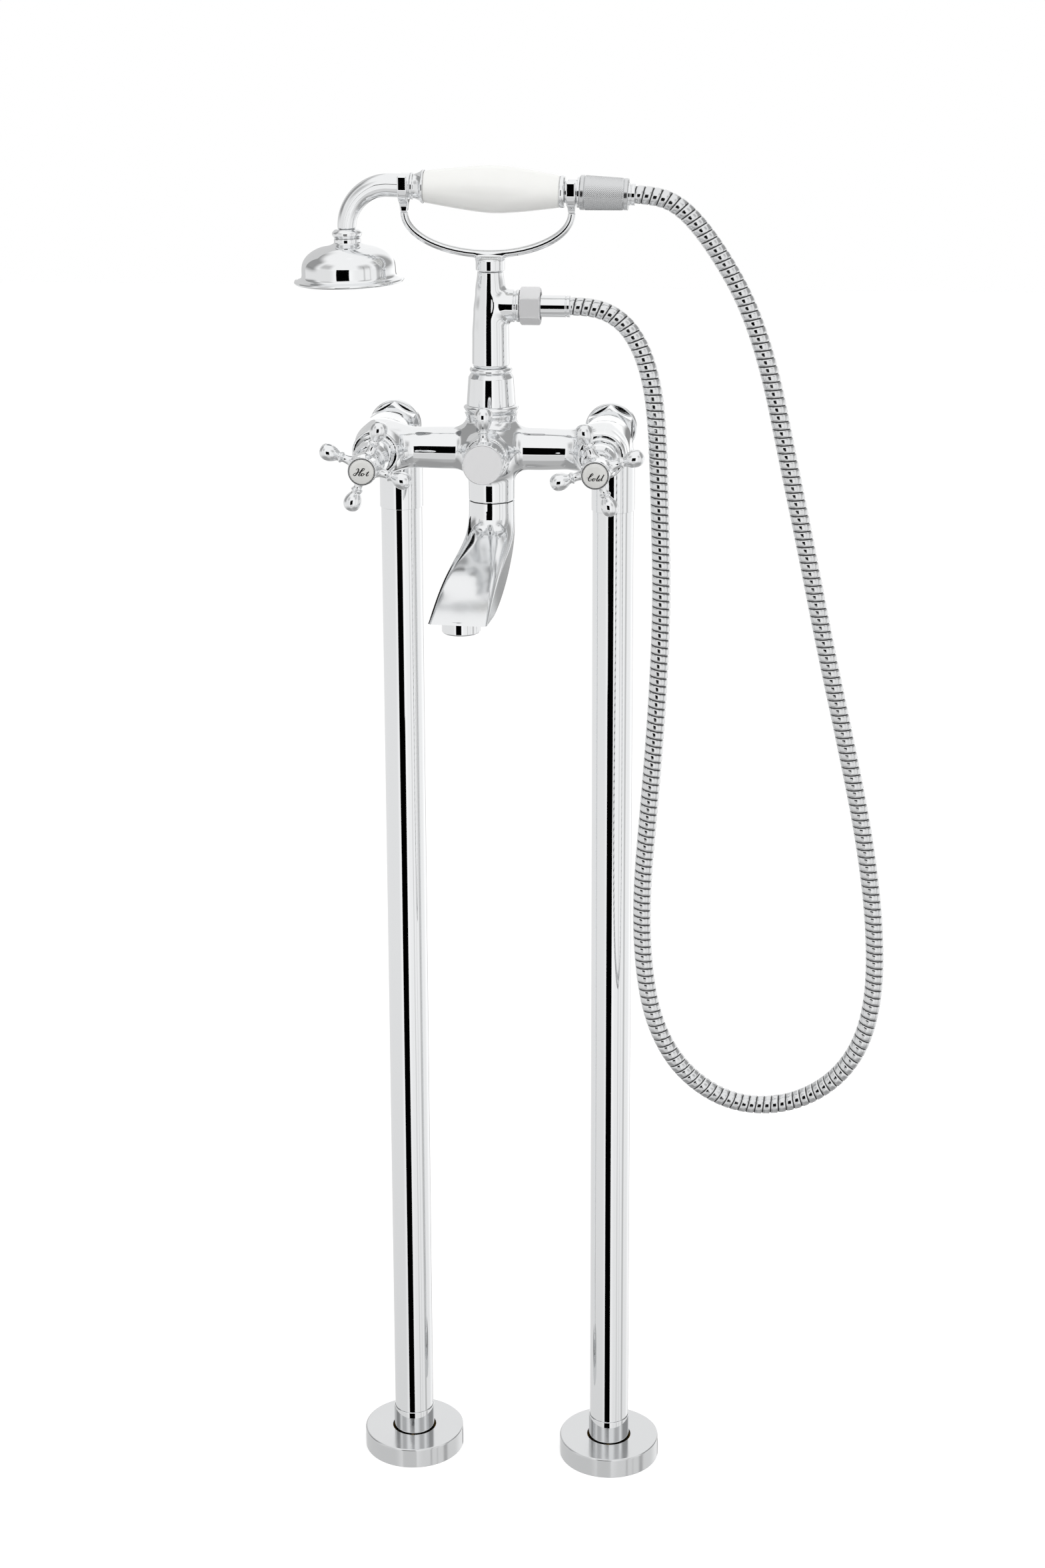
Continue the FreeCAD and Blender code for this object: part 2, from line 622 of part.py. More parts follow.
# ---------------------------------------------------------------------------
# Mixer body
# ---------------------------------------------------------------------------
def mixer_body():
    """One hollow casting: cross bar, valve housings, upright middle and diverter boss."""
    bar_centre = (0, -d.bar_reach, d.bar_height)
    half = d.pipe_spacing / 2
    flat = d.core_dia / 2 + 4
    solids = [turned("bar", [
        (0, 0), (d.bar_end_dia / 2, 0), (d.bar_mid_dia / 2, half - flat, 0.8),
        (d.bar_mid_dia / 2, half + flat), (d.bar_end_dia / 2, d.pipe_spacing, 0.8), (0, d.pipe_spacing),
    ], (-half, -d.bar_reach, d.bar_height), RIGHT)]
    long = housing_front - neck_start
    shoulder = d.housing_back - neck_start
    for word, side in SIDES:
        solids.append(turned(word + "_housing", [
            (0, 0), (d.tail_flange_dia / 2, 0), (d.tail_flange_dia / 2, shoulder),
            (d.housing_dia / 2, shoulder + 17, 3), (d.housing_dia / 2, long - 18),
            (d.housing_front_dia / 2, long - 7, 0.6), (d.housing_front_dia / 2, long - 1),
            (d.housing_front_dia / 2 - 1, long), (0, long),
        ], (pipe_x(side), -neck_start, d.bar_height), FRONT))
    high = core_top - spout_collar_bottom
    middle = d.bar_height - spout_collar_bottom
    solids.append(turned("core", [
        (0, 0), (d.spout_collar_dia / 2, 0), (d.spout_collar_dia / 2, middle - 20),
        (d.core_dia / 2, middle - 8, 1.5), (d.core_dia / 2, middle + 8), (d.core_seat_dia / 2, high - 2, 0.8),
        (d.core_seat_dia / 2, high), (0, high),
    ], (0, -d.bar_reach, spout_collar_bottom)))
    deep = boss_front - d.bar_reach
    solids.append(turned("boss", [
        (0, 0), (d.core_dia / 2 - 1, 0), (d.boss_dia / 2, deep - 12, -0.8), (d.boss_dia / 2, deep), (0, deep),
    ], bar_centre, FRONT))
    waterways = [
        rod("bar_bore", d.bar_bore, d.pipe_spacing, (-half, -d.bar_reach, d.bar_height), RIGHT),
        rod("core_bore", d.core_bore, high, (0, -d.bar_reach, spout_collar_bottom)),
        rod("spout_socket", d.spigot_dia + 2 * d.run_gap, d.spigot_length + 1,
            (0, -d.bar_reach, spout_collar_bottom)),
        rod("diverter_socket", d.diverter_bore, d.diverter_depth,
            (0, d.diverter_depth - boss_front, d.bar_height), FRONT),
    ]
    for word, side in SIDES:
        waterways.append(rod(word + "_inlet_bore", d.elbow_bore, valve_floor - neck_start,
                             (pipe_x(side), -neck_start, d.bar_height), FRONT))
        waterways.append(rod(word + "_valve_socket", d.valve_bore, d.valve_depth,
                             (pipe_x(side), -valve_floor, d.bar_height), FRONT))
    keep(cut("body_casting", fused("body_outside", solids), *waterways), "mixer_body")


# ---------------------------------------------------------------------------
# Valves and cross handles
# ---------------------------------------------------------------------------
def valve(word, side):
    """Valve in its housing and the ring that hides it."""
    at = (pipe_x(side), -valve_floor, d.bar_height)
    inside = d.spindle_dia / 2 + d.run_gap
    outside = d.valve_bore / 2 - d.fit_gap
    profile = [
        (0, 0), (outside, 0), (outside, d.valve_depth), (d.valve_nose_dia / 2, d.valve_depth),
        (d.valve_nose_dia / 2, d.valve_depth + d.valve_nose_length),
        (inside, d.valve_depth + d.valve_nose_length), (inside, 10), (0, 10),
    ]
    keep(turned(word + "_valve", profile, at, FRONT), word + "_valve_cartridge")
    long = d.shroud_length
    outer, inner, lip = d.shroud_dia / 2, d.shroud_bore / 2, long - d.shroud_lip
    profile = [
        (inner, 0), (outer + 1.2, 0), (outer + 1.2, 1.5), (outer, 3, -0.3), (outer, long - 5),
        (outer - 1.5, long, 0.5), (inside, long), (inside, lip), (inner, lip),
    ]
    keep(turned(word + "_shroud", profile, (at[0], -housing_front, d.bar_height), FRONT), word + "_valve_shroud")


def handle_cross(name, x, turn):
    """Hub with four turned arms."""
    hub_back_at = (x, -hub_back, d.bar_height)
    hub = d.hub_dia / 2
    recess = d.hub_length - d.hub_recess
    bore = d.spindle_dia / 2 + d.fit_gap
    hub_body = turned(name + "_hub", [
        (bore, 0), (hub - 1.2, 0), (hub, 5, 0.6), (hub, d.hub_length - 1),
        (hub - 1, d.hub_length), (d.hub_recess_dia / 2, d.hub_length), (d.hub_recess_dia / 2, recess),
        (bore, recess),
    ], hub_back_at, FRONT)
    arm_start = hub - 2.2
    knob_start = d.arm_tip - d.arm_knob_length
    wide, neck, bead = d.arm_knob_dia / 2, d.arm_neck_dia / 2, d.arm_bead_dia / 2
    profile = [
        (0, 0), (d.arm_root_dia / 2, 0), (neck, knob_start - arm_start - 4.2, -0.7),
        (neck, knob_start - arm_start - 2), (bead, knob_start - arm_start - 1.4, 0.1),
        (bead, knob_start - arm_start - 0.2, 0.3), (neck + 0.3, knob_start - arm_start),
        (wide, knob_start - arm_start + 0.58 * d.arm_knob_length, 0.9),
        (wide * 0.62, d.arm_tip - arm_start, 1.1), (0, d.arm_tip - arm_start),
    ]
    arms = []
    for index in range(HANDLE_ARMS):
        angle = turn + 360 / HANDLE_ARMS * index
        at = (x + arm_start * sine(angle), -hub_back - d.arm_level, d.bar_height + arm_start * cosine(angle))
        arms.append(turned("%s_arm%d" % (name, index), profile, at, (Vector(0, 1, 0), angle)))
    return fused(name, [hub_body] + arms)


def cross_handle(word, side, turn):
    """Cross handle with its spindle, screw, button and the ring round the button."""
    x = pipe_x(side)
    bar = d.bar_height
    recess = hub_back + d.hub_length - d.hub_recess
    front = hub_back + d.hub_length
    bore = rod(word + "_hub_bore", d.spindle_dia + 2 * d.fit_gap, d.hub_length, (x, -hub_back, bar), FRONT)
    pocket = rod(word + "_hub_pocket", d.hub_recess_dia, d.hub_recess, (x, -recess, bar), FRONT)
    keep(cut(word + "_cross", handle_cross(word + "_cross_blank", x, turn), bore, pocket), word + "_handle_cross")
    spindle_start = recess - 1 - d.spindle_length
    keep(rod(word + "_spindle_rod", d.spindle_dia, d.spindle_length, (x, -spindle_start, bar), FRONT),
         word + "_spindle")
    keep(turned(word + "_screw", [
        (0, 0), (d.spindle_dia / 2 + 1.5, 0), (d.spindle_dia / 2 + 1.5, 2), (d.spindle_dia / 2, 3, 0.2), (0, 3),
    ], (x, -recess, bar), FRONT), word + "_handle_screw")
    bezel_in = d.button_dia / 2 + d.fit_gap
    bezel = d.bezel_dia / 2
    seat = d.bezel_length + d.button_proud - d.button_thick
    collar = d.hub_dia / 2 + d.fit_gap
    overlap = seat - 0.8
    keep(turned(word + "_bezel", [
        (collar, 0), (bezel, 0), (bezel, d.bezel_length - 1), (bezel - 0.8, d.bezel_length, 0.25),
        (bezel_in, d.bezel_length), (bezel_in, seat), (d.hub_recess_dia / 2, seat),
        (d.hub_recess_dia / 2, overlap), (collar, overlap),
    ], (x, -front + overlap, bar), FRONT), word + "_button_ring")
    radius, thick = d.button_dia / 2, d.button_thick
    keep(turned(word + "_button", [
        (0, 0), (radius, 0), (radius, thick - 0.3), (radius - 0.4, thick), (1, thick + d.button_crown, 0.4),
        (0, thick + d.button_crown),
    ], (x, -front + overlap - seat, bar), FRONT), word + "_handle_button")


# ---------------------------------------------------------------------------
# Diverter
# ---------------------------------------------------------------------------
def diverter():
    """Cap that turns on the boss, with its stub inside the body, and the lever on the cap."""
    back = boss_front + d.run_gap
    long = cap_front - back
    cap = d.cap_dia / 2
    bar = d.bar_height
    stub = d.diverter_depth - 3
    narrow = d.diverter_bore / 2 - d.run_gap
    keep(turned("cap", [
        (0, 0), (narrow, 0), (narrow, stub), (cap, stub), (cap, stub + long - d.cap_edge),
        (cap - d.cap_edge, stub + long), (0, stub + long),
    ], (0, stub - back, bar), FRONT), "diverter_cap")
    lever_y = -cap_front + d.lever_setback
    knob, neck, root = d.lever_knob_dia / 2, d.lever_neck_dia / 2, d.lever_root_dia / 2
    knob_base = d.lever_top - d.lever_knob_length
    foot = cap - 1.5
    lever = turned("lever_blank", [
        (0, 0), (root, 0), (root, 2.2), (neck, knob_base - foot - 2.4, -0.7), (neck + 1.4, knob_base - foot - 1.6),
        (neck + 1.4, knob_base - foot - 0.6, 0.3), (neck, knob_base - foot),
        (knob, knob_base - foot + 0.55 * d.lever_knob_length, 1.1),
        (knob * 0.6, d.lever_top - foot, 1.3), (0, d.lever_top - foot),
    ], (0, lever_y, bar + foot))
    around = rod("lever_seat", d.cap_dia + d.fit_gap, long + 4, (0, -back + 2, bar), FRONT)
    keep(cut("lever", lever, around), "diverter_lever")


# ---------------------------------------------------------------------------
# Spout
# ---------------------------------------------------------------------------
def spout():
    """Swivelling spout: a round top that widens into a blade, with its aerator."""
    top = spout_collar_bottom - d.run_gap
    turn = d.spout_rest_turn
    outlet_x = -d.spout_reach * sine(turn)
    outlet_y = -d.bar_reach - d.spout_reach * cosine(turn)
    drop = top - spout_end

    def station(share, fall, wide, deep, lean):
        """A section at a share of the reach and of the drop, leaning forward from level."""
        level = Rotation(Vector(0, 0, 1), -turn.value).multiply(Rotation(Vector(1, 0, 0), -lean))
        at = (outlet_x * share, -d.bar_reach + (outlet_y + d.bar_reach) * share, top - drop * fall)
        return (wide, deep, at, (level.Axis, math.degrees(level.Angle)))

    def shell(name, less, first, last):
        """The blade, drawn in by a wall, from a share of its drop down to another."""
        round_top = d.spout_collar_dia - 2 * less
        end_wide, end_deep = d.spout_end_width - 2 * less, d.spout_end_depth - 2 * less
        return lofted(name, [
            station(0, first, round_top, round_top, 0),
            station(0, 0.2, round_top + 1, round_top + 0.6, 0),
            station(0.09, 0.44, round_top + 2.4, round_top - 1.6, 38),
            station(0.33, 0.65, round_top + 3.6, round_top - 5.6, 64),
            station(0.66, 0.78, end_wide - 1.6, end_deep - 3, 68),
            station(0.92, 0.9, end_wide - 0.4, end_deep - 1, 42),
            station(1, last, end_wide, end_deep, 0),
        ])

    hollow = shell("spout_inside", d.spout_wall, d.spout_wall / drop, 1 - (d.aerator_socket - 1) / drop)
    spigot = rod("spout_spigot", d.spigot_dia, d.spigot_length + 1, (0, -d.bar_reach, top - 1))
    bore = rod("spout_spigot_bore", d.spigot_dia - 2 * d.spout_wall, d.spigot_length + d.spout_wall + 1,
               (0, -d.bar_reach, top - d.spout_wall - 1))
    socket = rod("spout_aerator_socket", d.aerator_dia - 2, d.aerator_socket, (outlet_x, outlet_y, spout_end))
    outside = fused("spout_outside", [shell("spout_skin", size(0), size(0), size(1)), spigot])
    keep(cut("spout_casting", outside, hollow, bore, socket), "spout")

    inner = d.aerator_insert_dia / 2
    tail = d.aerator_dia / 2 - 1 - d.fit_gap
    outer = d.aerator_dia / 2
    drop = d.aerator_drop
    keep(turned("aerator_ring", [
        (inner + d.fit_gap, 0), (outer - 0.7, 0), (outer, 0.7), (outer, drop), (tail, drop),
        (tail, drop + d.aerator_socket - 1), (inner - 1.4, drop + d.aerator_socket - 1),
        (inner - 1.4, drop + 2), (inner + d.fit_gap, drop + 2),
    ], (outlet_x, outlet_y, spout_end - drop)), "aerator_housing")
    insert_at = (outlet_x, outlet_y, spout_end - drop + 1.5)
    insert_length = size(4)
    disc = rod("insert_disc", d.aerator_insert_dia, insert_length, insert_at)
    jets = []
    for count, radius in ((6, 3.2), (12, 6.4)):
        for index in range(count):
            angle = 2 * math.pi * index / count
            at = (outlet_x + radius * math.cos(angle), outlet_y + radius * math.sin(angle), insert_at[2] - 1)
            jets.append(rod("insert_jet", d.aerator_jet_dia, insert_length + 2, at))
    keep(cut("insert", disc, *jets), "aerator_insert")


# ---------------------------------------------------------------------------
# Column and hose outlet
# ---------------------------------------------------------------------------
def column():
    """Ring, cone, ring and stem, with the hose outlet on its right side."""
    y = -d.bar_reach
    bore = d.core_bore / 2
    ring_out, high = d.base_ring_dia / 2, d.base_ring_height
    keep(turned("foot_ring", [
        (bore, 0), (ring_out - 1.6, 0), (ring_out - 1.6, 0.6), (ring_out - 1, 1.2), (ring_out - 1, high - 0.6, 1),
        (d.cone_bottom_dia / 2, high), (bore, high),
    ], (0, y, core_top)), "column_base_ring")
    cone_at = core_top + high
    tall = d.cone_height
    keep(turned("cone", [
        (bore, 0), (d.cone_bottom_dia / 2, 0), (d.cone_top_dia / 2 + 0.4, tall - 3),
        (d.cone_top_dia / 2 - 1.6, tall, 0.5),
        (bore, tall),
    ], (0, y, cone_at)), "column_cone")
    ring_out, high = d.top_ring_dia / 2, d.top_ring_height
    keep(turned("upper_ring", [
        (bore, 0), (ring_out - 1.2, 0), (ring_out - 1.2, high, 1.2), (bore, high),
    ], (0, y, cone_at + tall)), "column_top_ring")

    stem, tip, tall = d.stem_dia / 2, d.stem_top_dia / 2, d.stem_height
    pivot = d.pivot_dia / 2
    upright = turned("stem_upright", [
        (0, 0), (stem - 1, 0), (stem, 2, 0.2), (stem, d.stem_straight), (tip, tall, 0.7), (pivot, tall),
        (pivot, tall + d.pivot_height), (0, tall + d.pivot_height),
    ], (0, y, stem_bottom))
    outlet = d.outlet_dia / 2
    boss = turned("stem_outlet", [
        (0, 0), (outlet, 0), (outlet, d.outlet_reach - 3.5), (outlet - 1, d.outlet_reach - 3.2),
        (outlet - 1, d.outlet_reach - 2.4), (outlet, d.outlet_reach - 2), (outlet, d.outlet_reach - 0.6),
        (outlet - 0.6, d.outlet_reach), (d.outlet_thread_dia / 2, d.outlet_reach),
        (d.outlet_thread_dia / 2, d.outlet_reach + 7), (0, d.outlet_reach + 7),
    ], (0, y, outlet_height), RIGHT)
    rise = rod("stem_rise", d.stem_bore, outlet_height - stem_bottom + 4, (0, y, stem_bottom))
    side = rod("stem_side_bore", d.stem_bore, d.outlet_reach + 8, (0, y, outlet_height), RIGHT)
    keep(cut("stem", fused("stem_outside", [upright, boss]), rise, side), "column_stem")


def hose_outlet():
    """Hexagonal nut, washer and ferrule of the hose at the column."""
    y = -d.bar_reach
    start = d.outlet_reach + 0.4
    blank = hexagon("outlet_nut_blank", d.hose_nut_flats, d.hose_nut_length, (start, y, outlet_height), RIGHT)
    thread = rod("outlet_nut_thread", d.outlet_thread_dia + 2 * d.fit_gap, d.hose_nut_length - 2,
                 (start, y, outlet_height), RIGHT)
    hole = rod("outlet_nut_hole", d.hose_ferrule_dia + 2 * d.fit_gap, d.hose_nut_length + 1,
               (start, y, outlet_height), RIGHT)
    keep(cut("outlet_nut", blank, thread, hole), "hose_outlet_nut")
    washer = d.outlet_reach + 7
    keep(ring("outlet_washer", d.outlet_thread_dia - 1, d.hose_bore, d.washer_thick, (washer, y, outlet_height),
              RIGHT, 0.2), "hose_outlet_washer")
    ferrule = washer + d.washer_thick
    keep(ring("lower_ferrule", d.hose_ferrule_dia, d.hose_bore, d.lower_ferrule_end - ferrule,
              (ferrule, y, outlet_height), RIGHT, 0.5), "hose_lower_ferrule")


# ---------------------------------------------------------------------------
# Cradle
# ---------------------------------------------------------------------------
def cradle():
    """Collar, arc and two open forks that carry the hand shower."""
    y = -d.bar_reach
    bottom = stem_top + d.run_gap
    high = d.cradle_collar_height
    collar = d.cradle_collar_dia / 2
    collar_body = turned("cradle_collar", [
        (0, 0), (collar - 0.5, 0), (collar, 0.5), (collar, high - 1), (collar - 1.5, high, 0.3), (0, high),
    ], (0, y, bottom))
    flat_ellipse = Rotation(Vector(1, 0, 0), 90)
    spine = primitive("Part::Ellipse", "arc_spine", {
        "MajorRadius": d.arc_half_width, "MinorRadius": d.arc_depth, "Angle1": 180, "Angle2": 360,
    }, (d.arc_shift, y, arc_level), (flat_ellipse.Axis, math.degrees(flat_ellipse.Angle)))
    section = primitive("Part::Circle", "arc_section", {"Radius": d.arc_dia / 2},
                        (d.arc_shift - d.arc_half_width, y, arc_level))
    arc = doc.addObject("Part::Sweep", "arc_bar")
    arc.Sections = [section]
    arc.Spine = (spine, ["Edge1"])
    arc.Solid = True
    arc.Frenet = True
    pivot_hole = rod("cradle_pivot_hole", d.pivot_dia + 2 * d.run_gap, d.pivot_height + d.run_gap,
                     (0, y, bottom - d.run_gap))
    screw_at = (0, y - d.pivot_dia / 2 - d.run_gap, bottom + high / 2 - 0.5)
    screw_hole = rod("cradle_screw_hole", d.cradle_screw_dia + 2 * d.fit_gap, collar, screw_at, FRONT)
    keep(cut("cradle_frame", fused("cradle_blank", [collar_body, arc]), pivot_hole, screw_hole), "cradle_arc")
    keep(rod("cradle_screw", d.cradle_screw_dia, collar - d.pivot_dia / 2 - d.run_gap - 0.6, screw_at, FRONT),
         "cradle_set_screw")
    for word, side, neck in (("left", -1, d.handset_arm_dia), ("right", 1, d.end_neck_dia)):
        fork(word, side, neck)


def fork(word, side, neck):
    """One open-topped fork, with a round floor under the hand shower's neck."""
    y = -d.bar_reach
    along = d.arc_shift + side * d.arc_half_width
    slot = neck + 2 * d.run_gap
    wide = slot + 2 * d.fork_prong
    seat = handset_point(along)[2]
    centre = (along - d.fork_thick / 2, y, seat)
    foot = block(word + "_fork_foot", (d.fork_thick, d.arc_dia + 1.5, seat - arc_level), (along, y, arc_level))
    cheeks = block(word + "_fork_cheeks", (d.fork_thick, wide, arc_level + d.fork_height - seat), (along, y, seat))
    floor = rod(word + "_fork_floor", wide, d.fork_thick, centre, RIGHT)
    round_slot = rod(word + "_fork_round", slot, d.fork_thick + 2, (along - d.fork_thick / 2 - 1, y, seat), RIGHT)
    open_slot = block(word + "_fork_open", (d.fork_thick + 2, slot, d.fork_height), (along, y, seat))
    outside = fused(word + "_fork_outside", [foot, cheeks, floor])
    keep(cut(word + "_fork", outside, round_slot, open_slot), "cradle_%s_fork" % word)


# ---------------------------------------------------------------------------
# Hand shower
# ---------------------------------------------------------------------------
def handset_grip():
    """Porcelain grip with its ferrules and the tube through it."""
    end, wide, long, hole = d.grip_end_dia / 2, d.grip_mid_dia / 2, d.grip_length, d.grip_bore / 2
    keep(turned("grip", [
        (hole, 0), (end - 0.8, 0), (end, 0.8, 0.2), (end, long - 0.8, wide - end), (end - 0.8, long, 0.2),
        (hole, long),
    ], handset_point(d.grip_left), HANDSET), "handset_grip")
    flare, arm, short = d.front_ferrule_dia / 2, d.handset_arm_dia / 2, d.front_ferrule_length
    keep(turned("front_ferrule", [
        (hole, 0), (arm + 0.9, 0), (arm + 0.9, 1.4), (flare - 0.8, short - 2, -0.5), (flare, short - 1.4),
        (flare, short - 0.5), (flare - 0.5, short), (hole, short),
    ], handset_point(arm_joint), HANDSET), "handset_front_ferrule")
    outer, long = d.end_ring_dia / 2, d.end_ring_length
    keep(turned("end_ring", [
        (hole, 0), (outer - 0.8, 0), (outer - 0.8, long, 0.8), (hole, long),
    ], handset_point(grip_right), HANDSET), "handset_end_ring")
    keep(ring("inner_tube", d.grip_bore - 2 * d.fit_gap, d.grip_bore - 2 * d.fit_gap - 2 * d.tube_wall,
              neck_left - arm_joint, handset_point(arm_joint), HANDSET, 0.2), "handset_inner_tube")
    neck, flange, tail = d.end_neck_dia / 2, d.end_flange_dia / 2, d.end_tail_dia / 2
    bore = d.hose_bore / 2
    after_neck, after_flange = d.end_neck_length, d.end_neck_length + d.end_flange_length
    keep(turned("end_neck", [
        (bore, 0), (neck, 0), (neck, after_neck), (flange, after_neck), (flange, after_flange), (tail, after_flange),
        (tail, after_flange + d.end_tail_length), (bore, after_flange + d.end_tail_length),
    ], handset_point(neck_left), HANDSET), "handset_end_neck")


def handset_arm():
    """Bent arm that narrows toward the head."""
    straight = handset_point(arm_joint), (Vector(0, 1, 0), 270 + d.handset_tilt)

    def shell(name, less):
        sections = [(d.handset_arm_dia - 2 * less, d.handset_arm_dia - 2 * less) + straight]
        steps = 5
        for step in range(steps + 1):
            share = step / steps
            across = d.handset_arm_dia + (d.handset_arm_end_dia - d.handset_arm_dia) * share - 2 * less
            sections.append((across, across) + arm_bend_point(d.handset_arm_bend * share))
        return lofted(name, sections)

    keep(cut("arm", shell("arm_skin", size(0)), shell("arm_bore", d.handset_arm_wall)), "handset_arm")


def hose_nut():
    """Knurled nut and ferrule of the hose at the hand shower, with their washer."""
    start = tail_left + d.fit_gap
    long = d.cone_nut_length
    wide, narrow = d.cone_nut_dia / 2, d.cone_nut_small_dia / 2
    hole = d.end_tail_dia / 2 + d.fit_gap
    keep(turned("knurled_nut", [
        (hole, 0), (wide - 0.4, 0), (wide, 0.4), (wide, 2.6), (wide - 0.5, 2.9), (narrow - 0.2, long - 2.9),
        (narrow, long - 2.6), (narrow, long - 0.4), (narrow - 0.4, long), (hole, long),
    ], handset_point(start), HANDSET), "hose_knurled_nut")
    washer = tail_left + d.end_tail_length
    keep(ring("upper_washer", d.end_tail_dia, d.hose_bore, d.washer_thick, handset_point(washer), HANDSET, 0.2),
         "hose_upper_washer")
    ferrule = washer + d.washer_thick
    keep(ring("upper_ferrule", d.hose_ferrule_dia, d.hose_bore, d.upper_ferrule_end - ferrule, handset_point(ferrule),
              HANDSET, 0.5), "hose_upper_ferrule")


def shower_head():
    """Collar, bell and perforated plate of the shower head."""
    keep(ring("head_ring", d.head_collar_dia, d.handset_arm_end_dia - 2 * d.handset_arm_wall, d.head_collar_height,
              head_point(0), HEAD, 1), "head_collar")
    high, thick, roll = d.bell_height, d.bell_thick, d.rim_roll
    neck, shoulder, wall, rim = d.bell_neck_dia / 2, d.bell_shoulder_dia / 2, d.bell_wall_dia / 2, d.bell_rim_dia / 2
    inlet = d.handset_arm_end_dia / 2 - d.handset_arm_wall
    start = d.head_collar_height + d.fit_gap
    root_at, shoulder_at, wall_at, brim_at = 0.13 * high, 0.376 * high, 0.62 * high, 0.88 * high
    keep(turned("bell_shell", [
        (inlet, 0), (neck, 0), (neck, root_at - 0.6), (neck + 2.8, root_at, -0.4), (shoulder, shoulder_at, 0.9),
        (wall, wall_at, 1), (wall, brim_at), (rim - roll / 2, high - roll, -0.5),
        (rim - roll / 2, high, 0.48 * roll), (wall + 1, high - 0.6, 0.3), (wall - thick, high - 1.5),
        (wall - thick, wall_at), (shoulder - 1, shoulder_at + thick, -0.8), (neck + 2, root_at + thick, -0.8),
        (inlet, root_at + thick),
    ], head_point(start), HEAD), "shower_bell")
    plate_at = start + high - 1.5 - d.spray_plate_thick
    centre = head_point(plate_at)
    disc = rod("spray_disc", d.spray_plate_dia, d.spray_plate_thick, centre, HEAD)
    jets = []
    for count, radius in ((1, 0), (8, 6.5), (14, 12.5), (20, 18.5), (26, 24.5)):
        for index in range(count):
            angle = 2 * math.pi * index / count
            along = radius * math.cos(angle)
            at = (centre[0] - along * cosine(HEAD[1]) - sine(HEAD[1]), centre[1] + radius * math.sin(angle),
                  centre[2] + along * sine(HEAD[1]) - cosine(HEAD[1]))
            jets.append(rod("spray_jet", d.spray_jet_dia, d.spray_plate_thick + 2, at, HEAD))
    keep(cut("spray_plate", disc, *jets), "spray_plate")


# ---------------------------------------------------------------------------
# Hose: a bore and ribs along straight runs joined by tangent arcs
# ---------------------------------------------------------------------------
def hose_path():
    """Edges of the centre line and the radius of each bend."""
    high_end = handset_point(d.upper_ferrule_end + d.end_gap)
    low_end = (d.lower_ferrule_end, -d.bar_reach, outlet_height)
    points = []
    for (across, level, height), route in ((high_end, HOSE_FALL), (low_end, HOSE_CLIMB)):
        points += [Vector(across.value + right, level.value, height.value + up) for right, up in route]
    edges, radii, here = [], [], points[0]
    for before, corner, after in zip(points, points[1:], points[2:]):
        inward, outward = (corner - before), (after - corner)
        half_turn = inward.getAngle(outward) / 2
        reach = BEND_SHARE * min(inward.Length, outward.Length)
        radii.append(reach / math.tan(half_turn))
        start = corner - inward.normalize() * reach
        end = corner + outward.normalize() * reach
        way = (start - corner).normalize() + (end - corner).normalize()
        middle = corner + way.normalize() * radii[-1] * (1 / math.cos(half_turn) - 1)
        edges.append(Part.LineSegment(here, start).toShape())
        edges.append(Part.Arc(start, middle, end).toShape())
        here = end
    edges.append(Part.LineSegment(here, points[-1]).toShape())
    return edges, radii


def point_along(edges, distance):
    """Point and direction at a distance along the centre line."""
    for edge in edges:
        if distance <= edge.Length or edge is edges[-1]:
            place_on = edge.getParameterByLength(min(distance, edge.Length))
            return edge.valueAt(place_on), edge.tangentAt(place_on).normalize()
        distance -= edge.Length
    return None


def circle_across(edges, distance, radius):
    """Circle square to the centre line, its X axis kept steady."""
    centre, way = point_along(edges, distance)
    steady = Vector(0, 1, 0)
    loop = Part.Circle(centre, way, radius)
    loop.XAxis = steady
    return Part.Wire(loop.toShape())


def shower_hose():
    """Ribbed metal hose with its bore."""
    edges, radii = hose_path()
    length = sum(edge.Length for edge in edges)
    print("hose length %.1f mm, bend radii" % length, ", ".join("%.0f" % radius for radius in radii))
    crest, valley, bore = d.hose_dia.value / 2, d.hose_valley_dia.value / 2, d.hose_bore.value / 2
    plain_end = d.hose_dia.value
    pitch = (length - 2 * plain_end) / RIB_COUNT
    stations = [(0, valley)]
    for rib in range(RIB_COUNT):
        start = plain_end + rib * pitch
        for share, radius in ((0.04, valley), (0.16, crest), (0.84, crest), (0.96, valley)):
            stations.append((start + share * pitch, radius))
    stations.append((length, valley))
    outer = Part.makeLoft([circle_across(edges, where, radius) for where, radius in stations], False, True)
    bore_steps = [0, plain_end] + [plain_end + (rib + 1) * pitch for rib in range(RIB_COUNT)] + [length]
    inner = Part.makeLoft([circle_across(edges, where, bore) for where in bore_steps], False, True)
    caps = []
    for where in (0, length):
        loops = [circle_across(edges, where, valley), circle_across(edges, where, bore)]
        caps.append(Part.Face(loops, "Part::FaceMakerBullseye"))
    shell = Part.Shell(outer.Faces + [face.reversed() for face in inner.Faces] + caps)
    shell.sewShape()
    solid = Part.Solid(shell)
    if solid.Volume < 0:
        solid.reverse()
    mean = (0.8 * crest ** 2 + 0.2 * valley ** 2) - bore ** 2
    print("hose volume %.0f, section times length %.0f" % (solid.Volume, math.pi * mean * length))
    hose = doc.addObject("Part::Feature", "hose")
    hose.Shape = solid
    keep(hose, "shower_hose")


